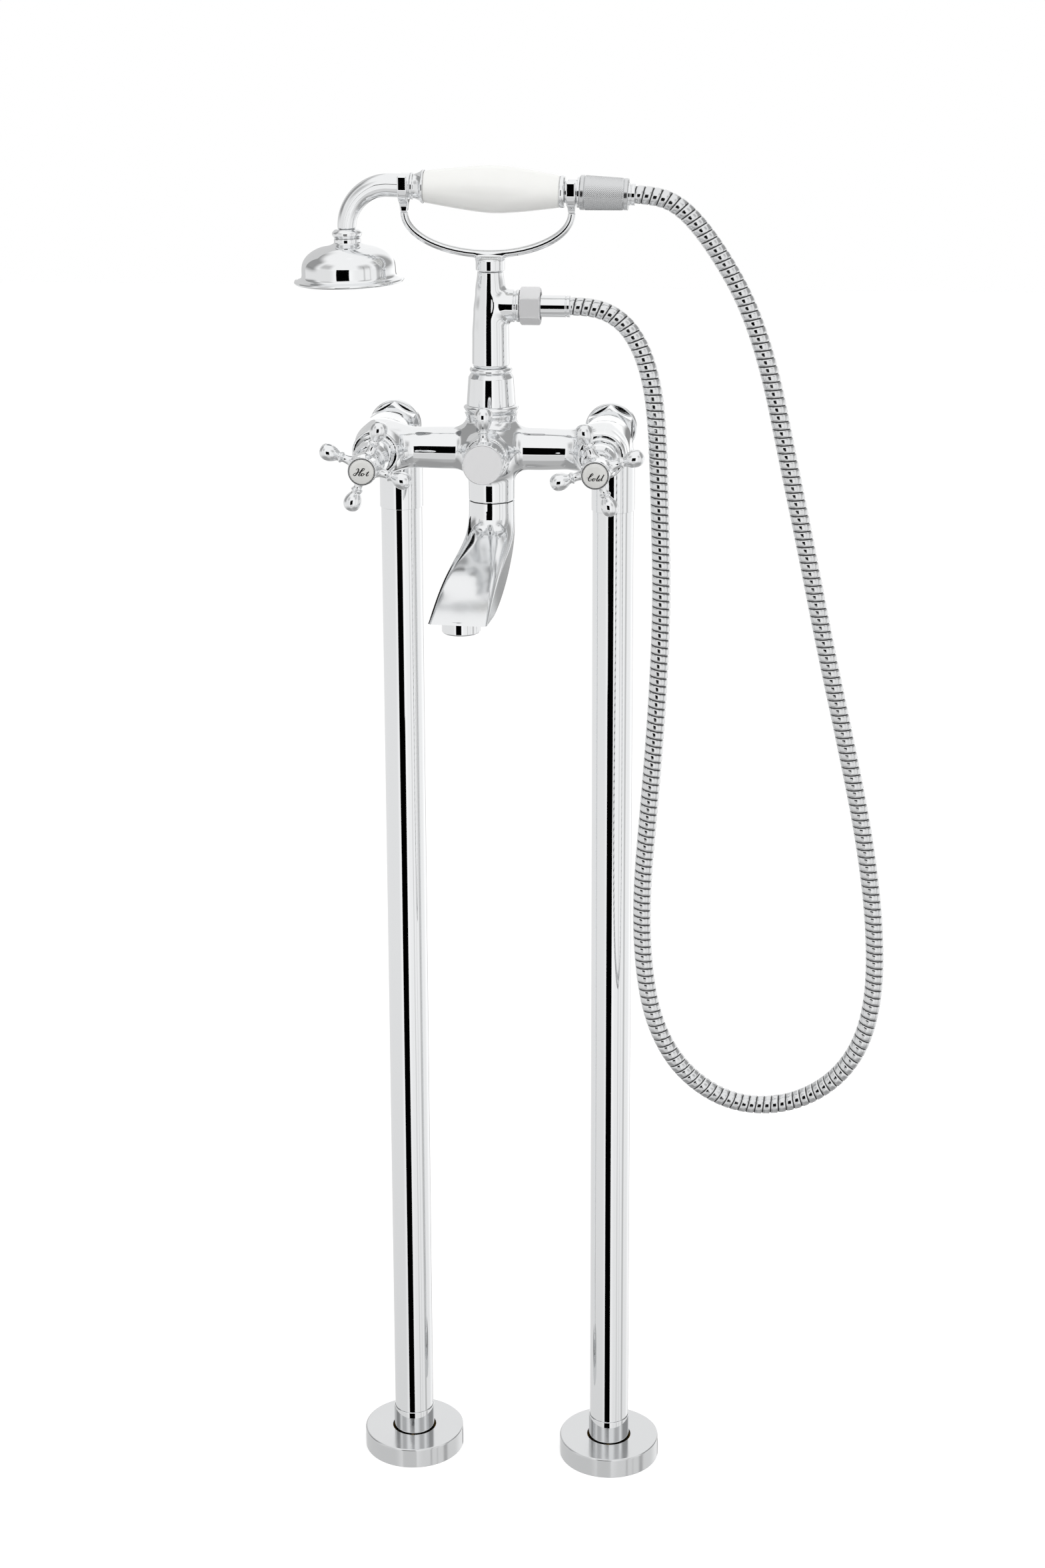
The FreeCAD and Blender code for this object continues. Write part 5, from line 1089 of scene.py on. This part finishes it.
def stem_field(x, y, z):
    """Stem with its waist and pivot, and the outlet's boss with a groove."""
    off = np.hypot(x, y - BAR_Y)
    stem = post(off, z, [
        (STEM_Z, 11.4), (861.5, 12.3), (880, 12.1), (896, 11.3), (909, 10.0), (922.8, 8.5)], 0.4)
    pivot = post(off, z, [(918, 5.4), (929, 5.4)], 0.3)
    side = np.hypot(y - BAR_Y, z - OUTLET_Z)
    boss = post(side, x, [
        (4, 10.2), (13, 10.9), (15.6, 10.9), (16.3, 10.1), (17.1, 10.1), (17.8, 11), (19.5, 10.9)], 0.35)
    tail = post(side, x, [(12, 9), (26.4, 9)], 0.3)
    return np.minimum(smooth_min(np.minimum(stem, pivot), boss, 4), tail)


points, quads, normals = skin(stem_field, (-14, BAR_Y - 14, 858), (28, BAR_Y + 14, 930.5), 0.5)
stem = put("column_stem_dress", points, quads.tolist(), normals)
stands_for(stem, "column_stem")
print("stem:", len(points), "points")

# %% [markdown]
# The hose is clamped in a turned ferrule at each end, and a groove near its mouth
# marks where it was pressed.  This is the lower one, in the outlet's nut.

# %% Lower ferrule
carried("hose_lower_ferrule", [
    (4, 0), (7.3, 0), (7.3, 21.2, 0.3), (6.9, 21.4, 0.2), (6.9, 21.9, 0.2), (7.3, 22.1, 0.3),
    (7.3, 24.2, 0.5), (4, 24.2),
], straight((28.5, BAR_Y, OUTLET_Z), RIGHT))

# %% [markdown]
# The cradle is a collar on the stem's pivot, with a half ellipse of rod and two
# open forks.  The ellipse's field is its equation over its own slope, which is
# the distance from it near the rod.

# %% Cradle
ARC_MIDDLE, ARC_LEVEL, ARC_HALF, ARC_DEPTH = -1.4, 961.1, 55.0, 27.0
COLLAR_FOOT_Z, COLLAR_RIM_Z = 923.1, 930
FORK_WALL, FORK_PLAY = 3.5, 0.35
PRONG_RISE = 7.3
HANDSET_TILT = math.radians(1.8)
HANDSET_Z = 976.4


def cradle_field(x, y, z):
    """Collar and arc, melted together where they meet, less the collar's bore."""
    off = np.hypot(x, y - BAR_Y)
    collar = post(off, z, [(COLLAR_FOOT_Z, 9.55), (COLLAR_RIM_Z, 9.55), (932.1, 8.2)], 0.5)
    u, w = (x - ARC_MIDDLE) / ARC_HALF, (z - ARC_LEVEL) / ARC_DEPTH
    slope = 2 * np.sqrt((u / ARC_HALF) ** 2 + (w / ARC_DEPTH) ** 2 + 1e-9)
    flat = (u * u + w * w - 1) / slope
    arc = np.hypot(flat, y - BAR_Y) - (2.45 + 0.35 * np.clip(-w, 0, 1))
    arc = smooth_max(arc, z - ARC_LEVEL, 0.6)
    bore = np.maximum(off - 5.8, z - 929.8)
    return np.maximum(smooth_min(collar, arc, 3), -bore)


points, quads, normals = skin(cradle_field, (-61, BAR_Y - 11, 921), (58, BAR_Y + 11, 963), 0.6)
arc = put("cradle_arc_dress", points, quads.tolist(), normals)
stands_for(arc, "cradle_arc")


def fork_field(neck, middle):
    """Field of a fork: a band round the neck's lower half, two upright prongs and a foot."""
    seat = HANDSET_Z - middle * math.tan(HANDSET_TILT)
    band = neck / 2 + FORK_PLAY + FORK_WALL / 2

    def field(x, y, z):
        side, rise = np.abs(y - BAR_Y), z - seat
        ring = np.where(rise < 0, np.hypot(side, rise), side)
        prong = smooth_max(np.abs(ring - band) - FORK_WALL / 2, rise - PRONG_RISE, 1.2)
        foot = smooth_max(side - 3.0, np.maximum(rise + band, ARC_LEVEL - z), 1.2)
        outline = smooth_min(prong, foot, 2.5)
        half_width = np.interp(z, [ARC_LEVEL, ARC_LEVEL + 2.5, ARC_LEVEL + 6.5], [2.3, 2.5, 3.1])
        return smooth_max(outline, np.abs(x - middle) - half_width, 1.0)
    return field, seat


for word, neck, middle in (("left", 15.8, ARC_MIDDLE - ARC_HALF), ("right", 14.6, ARC_MIDDLE + ARC_HALF)):
    field, seat = fork_field(neck, middle)
    points, quads, normals = skin(field, (middle - 4, BAR_Y - 14, ARC_LEVEL - 1),
                                  (middle + 4, BAR_Y + 14, seat + 9), 0.5)
    fork = put("cradle_%s_fork_dress" % word, points, quads.tolist(), normals)
    stands_for(fork, "cradle_%s_fork" % word)

# %% [markdown]
# The hand shower lies on a line that falls slightly to the right.  Everything on
# it is turned: ferrule, porcelain grip, ring, neck and nut, in that order.

# %% Hand shower
GRIP_LEFT, GRIP_RIGHT = -43.2, 45.7
ARM_ROOT = -52.4

fall = np.array((math.cos(HANDSET_TILT), 0, -math.sin(HANDSET_TILT)))
handset_line = straight((0, BAR_Y, HANDSET_Z), fall)
carried("handset_grip", [
    (6, GRIP_LEFT), (10.2, GRIP_LEFT, 0.4), *curved([
        (10.5, GRIP_LEFT + 0.6), (11.9, GRIP_LEFT + 10), (13.9, GRIP_LEFT + 24), (15.5, GRIP_LEFT + 38),
        (15.8, GRIP_LEFT + 46), (15.4, GRIP_LEFT + 54), (13.9, GRIP_LEFT + 67), (12.0, GRIP_LEFT + 79.5),
        (10.6, GRIP_RIGHT - 0.6)], 8),
    (10.3, GRIP_RIGHT, 0.4), (6, GRIP_RIGHT),
], handset_line, 128)
carried("handset_front_ferrule", [
    (6, ARM_ROOT), (8.5, ARM_ROOT, 0.3), (8.9, -51.6, 0.4), (8.9, -50.6, 0.4), (8.2, -50, 0.3),
    *curved([(8.2, -49.6), (8.7, -47.6), (9.9, -45.6), (11.0, -44.6)], 6), (11.2, -44.2, 0.25),
    (11.2, -43.5, 0.25), (10.8, -43.25), (6, -43.25),
], handset_line)
carried("handset_end_ring", [
    (6, GRIP_RIGHT + 0.05), (10.3, GRIP_RIGHT + 0.05, 0.3),
    *curved([(10.6, 46.1), (11, 47.2), (10.5, 48.6)], 5), (10.0, 49.25, 0.4), (6, 49.25),
], handset_line)
carried("handset_end_neck", [
    (4, 49.3), (7.3, 49.3, 0.3), (7.3, 57.4, 0.3), (10.3, 57.5, 0.3), (10.3, 59, 0.3), (7.5, 59),
    (7.5, 68), (4, 68),
], handset_line)

# %% [markdown]
# Knurling rolls a lattice of fine grooves into the nut, which narrows toward the
# hose.  Two sets of slanted waves cross, and the lesser of the two leaves small
# pyramids 1.3 mm apart.  Eight columns to a pyramid keep each one's shape.

# %% Knurled nut
NUT_LEFT, NUT_RIGHT, NUT_BORE = 59.15, 90.65, 7.65
KNURLS, KNURL_DEEP = 54, 0.32
KNURL_ROWS = 90
KNURL_LONG, KNURL_TAPER = 24.9, 0.9
BAND, KNURL_FADE = 3.4, 0.4


def knurl(angle, along):
    """The lesser of two triangle waves, one wound each way, faded out at the two plain bands."""
    pitch = 2 * math.pi * 11 / KNURLS
    one = np.abs(((angle * KNURLS / (2 * math.pi) + along / pitch) % 1) - 0.5)
    two = np.abs(((angle * KNURLS / (2 * math.pi) - along / pitch) % 1) - 0.5)
    fade = (np.clip((along - NUT_LEFT - BAND) / KNURL_FADE, 0, 1)
            * np.clip((NUT_RIGHT - BAND - along) / KNURL_FADE, 0, 1))
    return (np.minimum(one, two) * 2 - 0.5) * KNURL_DEEP * fade


rolled = [(11.3 - KNURL_TAPER * k / KNURL_ROWS, NUT_LEFT + 3.3 + k * KNURL_LONG / KNURL_ROWS, 0)
          for k in range(KNURL_ROWS + 1)]
carried("hose_knurled_nut", [
    (NUT_BORE, NUT_LEFT), (11.1, NUT_LEFT, 0.4), (11.5, NUT_LEFT + 0.5, 0.3), (11.5, NUT_LEFT + 2.6, 0.3),
    (10.8, NUT_LEFT + 2.9, 0.1), *rolled, (10.1, NUT_RIGHT - 2.9, 0.1), (10.5, NUT_RIGHT - 2.6, 0.3),
    (10.5, NUT_RIGHT - 0.4, 0.3), (10, NUT_RIGHT, 0.3), (NUT_BORE, NUT_RIGHT),
], handset_line, 8 * KNURLS, knurled_chrome, True, knurl)
carried("hose_upper_ferrule", [
    (4, 70), (7.3, 70), (7.3, 91.8, 0.2), (6.8, 92, 0.2), (6.8, 92.6, 0.2), (7.2, 92.8, 0.2),
    (7.2, 95, 0.4), (4, 95),
], handset_line)

# %% [markdown]
# The arm bends down to the head and narrows on the way.  The head is a dome that
# flares into a rounded rim, hollow from below, so its profile runs out over the
# dome, round the rim and back up inside.

# %% Arm and shower head
ARM_BEND, ARM_RADIUS, ARM_STRAIGHT = math.radians(93.5), 28.0, 13.4
ARM_THICK, ARM_THINS_BY = 7.9, 1.9
ARM_BORE, ARM_BORE_WIDENS_BY = 4.4, 1.8
HEAD = 6.15


def arm_line():
    """Dense points: left along the hand shower's line, then round a bend of sine and one less cosine."""
    lift = np.array((math.sin(HANDSET_TILT), 0, math.cos(HANDSET_TILT)))
    origin = np.array((0, BAR_Y, HANDSET_Z))
    start = origin + fall * ARM_ROOT
    ahead = start - fall * np.linspace(0, ARM_STRAIGHT, 12)[:, None]
    angle = np.linspace(0, ARM_BEND, 60)[1:, None]
    bend = ahead[-1] - fall * ARM_RADIUS * np.sin(angle) + lift * ARM_RADIUS * (np.cos(angle) - 1)
    return np.vstack([ahead, bend])


arm_path = bent(arm_line(), (0, 1, 0))
arm_long = arm_path.length
arm_rows = np.linspace(0.4, arm_long - 0.3, 60)
arm_bent = np.maximum(arm_rows - ARM_STRAIGHT, 0) / (arm_long - ARM_STRAIGHT)
outside = [(ARM_THICK - ARM_THINS_BY * share, s, 0) for share, s in zip(arm_bent, arm_rows)]
inside = [(ARM_BORE + ARM_BORE_WIDENS_BY * (1 - s / arm_long), s, 0) for s in arm_rows[::-2]]
carried("handset_arm", [(6.2, 0), (7.7, 0, 0.3), *outside, (ARM_BORE, arm_long), *inside],
        arm_path, 96, None, True)
arm_end, arm_way, _ = arm_path(np.array([arm_long]))
head_line = straight(arm_end[0], arm_way[0])
carried("head_collar", [
    (ARM_BORE, 0), (6.6, 0, 0.3), *curved([(7.6, 0.2), (9.6, 1.6), (10, 3), (9.6, 4.4), (8.8, 5.6)], 5),
    (8.4, 6, 0.2), (ARM_BORE, 6),
], head_line)
carried("shower_bell", [
    (ARM_BORE, HEAD), (8.6, HEAD, 0.3), (8.8, HEAD + 0.6, 0.2), *curved([
        (8.8, HEAD + 2.4), (9.1, HEAD + 3.4), (11.5, HEAD + 4), (17.5, HEAD + 5.1), (23.4, HEAD + 7.7),
        (27.6, HEAD + 10.8), (30.3, HEAD + 14.6), (31.1, HEAD + 18), (31.2, HEAD + 21), (31.2, HEAD + 23),
        (31.4, HEAD + 24.6), (32.2, HEAD + 25.7), (33.6, HEAD + 26.3), (35, HEAD + 26.5)], 6),
    (36, HEAD + 26.8, 0.7), (36.5, HEAD + 27.8, 0.7), (36, HEAD + 28.9, 0.7), (34.8, HEAD + 29, 0.4),
    (32.2, HEAD + 28.3, 0.6), (29.7, HEAD + 27.5, 0.4), (29.7, HEAD + 18), (26.8, HEAD + 12.3, 3),
    (11, HEAD + 5.4, 3), (ARM_BORE, HEAD + 5.2),
], head_line, 128)

# %% [markdown]
# The hose hangs between the hand shower and the column in one long loop.  Its
# line is a smooth spline through the route, and the steel strip winds round it:
# the rib's phase grows with distance along the hose and with angle round it, so
# the seams lean a little, as they do on the real spiral.

# %% Hose route
HOSE_ROUTE = [
    (94.95, 973.42), (107.5, 973.02), (121.6, 967.9), (135, 955.8), (151, 934), (169, 902.5), (184, 859),
    (197, 798), (210.5, 737), (224, 672), (240, 602), (254, 536), (262.5, 474), (263.5, 420), (254, 381),
    (232.5, 353), (200, 337.5), (163.5, 339), (131, 361), (111.5, 396), (103.5, 440), (102, 492),
    (107, 556), (112, 628), (114.5, 700), (112.5, 768), (110, 830), (103.6, 862.5), (93.3, 883.8),
    (81, 894.9), (66.3, 899.9), (52.7, 899.9),
]
HOSE_DIA, HOSE_VALLEY = 12.4, 11.1


def spline_points(route):
    """Dense points on a NURBS line of order three, whose control points are the route."""
    line = bpy.data.curves.new("hose_line", "CURVE")
    line.dimensions = "3D"
    line.resolution_u = 24
    run = line.splines.new("NURBS")
    run.points.add(len(route) - 1)
    for point, (right, up) in zip(run.points, route):
        point.co = (right / 1000, BAR_Y / 1000, up / 1000, 1)
    run.order_u = 3
    run.use_endpoint_u = True
    holder = bpy.data.objects.new("hose_line", line)
    bpy.context.scene.collection.objects.link(holder)
    mesh = bpy.data.meshes.new_from_object(holder)
    found = np.array([vertex.co[:] for vertex in mesh.vertices]) * 1000
    bpy.data.objects.remove(holder)
    bpy.data.meshes.remove(mesh)
    return found


hose_points = spline_points(HOSE_ROUTE)
hose_path = bent(hose_points, (0, 1, 0))
hose_length = hose_path.length
print("hose %.0f mm along its spline" % hose_length)

# %% [markdown]
# One turn of the strip has six stations: up from the seam, over the rib and down
# again.  A row of the mesh is one station carried round the hose.  It falls back
# by one turn on the way, so its end meets the start of the row one turn before
# it.  The strip reaches a little into both ferrules, and is plain there.

# %% Wind the strip
RIB_SHAPE = np.array([(0.0, 0.0), (0.1, 0.9), (0.3, 1.0), (0.62, 0.93), (0.86, 0.8), (0.94, 0.0)])
RIB_STEPS = len(RIB_SHAPE)
RIB_PITCH = 5.4
RIB_FADE = 1.2
HOSE_SIDES = 24
REACH_IN = 1.5
SPLIT_SHARE = 0.475


def wound():
    """Helical tube: the radius is the valley's plus the rise of the rib at its phase.

    The phase is the distance over the pitch plus the angle over a whole turn.
    """
    turns = round((hose_length + 2 * REACH_IN) / RIB_PITCH)
    pitch = (hose_length + 2 * REACH_IN) / turns
    row = np.arange((turns + 1) * RIB_STEPS + 1)
    phase = row // RIB_STEPS + RIB_SHAPE[row % RIB_STEPS, 0]
    rise = RIB_SHAPE[row % RIB_STEPS, 1]
    column = np.arange(HOSE_SIDES)
    away = np.clip(pitch * (phase[:, None] - column / HOSE_SIDES), 0, turns * pitch) - REACH_IN
    ribbed = np.clip(np.minimum(away, hose_length - away) / RIB_FADE, 0, 1)
    radius = HOSE_VALLEY / 2 + (HOSE_DIA - HOSE_VALLEY) / 2 * rise[:, None] * ribbed
    centre, way, binormal = hose_path(away.ravel())
    across = np.cross(binormal, way)
    angle = np.tile(2 * math.pi * column / HOSE_SIDES, len(row))[:, None]
    points = centre + radius.reshape(-1, 1) * (np.cos(angle) * across + np.sin(angle) * binormal)
    grid = np.arange(len(row) * HOSE_SIDES).reshape(len(row), HOSE_SIDES)
    right = np.roll(grid, -1, axis=1)
    right[RIB_STEPS:, -1] = grid[:-RIB_STEPS, 0]
    quads = np.stack([grid[:-1], right[:-1], right[1:], grid[1:]], -1)
    return points, grid, quads, np.repeat(rise, HOSE_SIDES)


def hose_half(name, first, last):
    """The wound faces between two rows, and a cap at each end, round one row and back along the seam."""
    quads = hose_quads[first:last]
    faces = quads[:, :-1].reshape(-1, 4).tolist() + quads[max(0, RIB_STEPS - first):, -1].tolist()
    low_seam = hose_grid[first - RIB_STEPS:first, 0] if first else hose_grid[1:RIB_STEPS + 1, -1]
    low_ring = np.concatenate([hose_grid[first], low_seam])
    high_ring = np.concatenate([hose_grid[last], hose_grid[last - RIB_STEPS:last, 0]])
    faces += [low_ring[::-1].tolist(), high_ring.tolist()]
    used = np.unique(np.concatenate([np.array(face) for face in faces]))
    renumber = np.full(len(hose_skin), -1)
    renumber[used] = np.arange(len(used))
    half = put(name, hose_skin[used], [renumber[face].tolist() for face in faces], None, hose_steel)
    crest = half.data.attributes.new("crest", "FLOAT", "POINT")
    crest.data.foreach_set("value", hose_rise[used].astype(np.float32))
    return half


hose_skin, hose_grid, hose_quads, hose_rise = wound()
split_row = int(len(hose_grid) * (1 - SPLIT_SHARE)) // RIB_STEPS * RIB_STEPS
split_along = (split_row / (len(hose_grid) - 1)) * (hose_length + 2 * REACH_IN) - REACH_IN
steps_along = np.concatenate([[0], np.cumsum(np.linalg.norm(np.diff(hose_points, axis=0), axis=1))])
upper = hose_half("shower_hose_upper", 0, split_row)
lower = hose_half("shower_hose_lower", split_row, len(hose_grid) - 1)
print("hose: rows 0 to", split_row, "above and to", len(hose_grid) - 1, "below")

# %% [markdown]
# Each half is baked where it lies, and the packed hose is hidden.  The lines of
# both halves are told in one direction, from the outlet to the hand shower, and
# each one's length is printed with its count of faces.

# %% Hang the hose
lowest = float(hose_points[:, 2].min()) / 1000
upper_line = hose_points[steps_along < split_along] / 1000
lower_line = hose_points[steps_along >= split_along][::-1] / 1000
for piece, first, second, from_z, to_z in (
        (upper, "handset", "cradle", HOSE_ROUTE[0][1] / 1000, lowest),
        (lower, "cradle", "frame", lowest, HOSE_ROUTE[-1][1] / 1000)):
    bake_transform(piece)
    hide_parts("shower_hose")
for piece, line in ((upper, upper_line[::-1]), (lower, lower_line)):
    long = float(np.linalg.norm(np.diff(line, axis=0), axis=1).sum())
    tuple(line[0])
    print(piece.name, "%.0f mm," % (long * 1000), len(piece.data.polygons), "faces")

# %% [markdown]
# Now that every piece exists, each card is told whom it lights.  Two light all
# pieces but those named, and one lights only those named.

# %% Finish
CARD_RULES = [
    # card, whether it lights the pieces with these words in their names or all the others, and the words
    (pipe_card, False, ("standpipe", "foot_sleeve")),
    (edge_card, False, ("spout_dress",)),
    (arm_card, True, ("handset_arm", "union_nut")),
]
cards = [rule[0] for rule in CARD_RULES]
pieces = [piece for piece in bpy.context.scene.objects if piece.type == "MESH" and piece not in cards]
for card, lights_named, words in CARD_RULES:
    for piece in pieces:
        if any(word in piece.name for word in words) == lights_named:
            card.light_linking.receiver_collection.objects.link(piece)
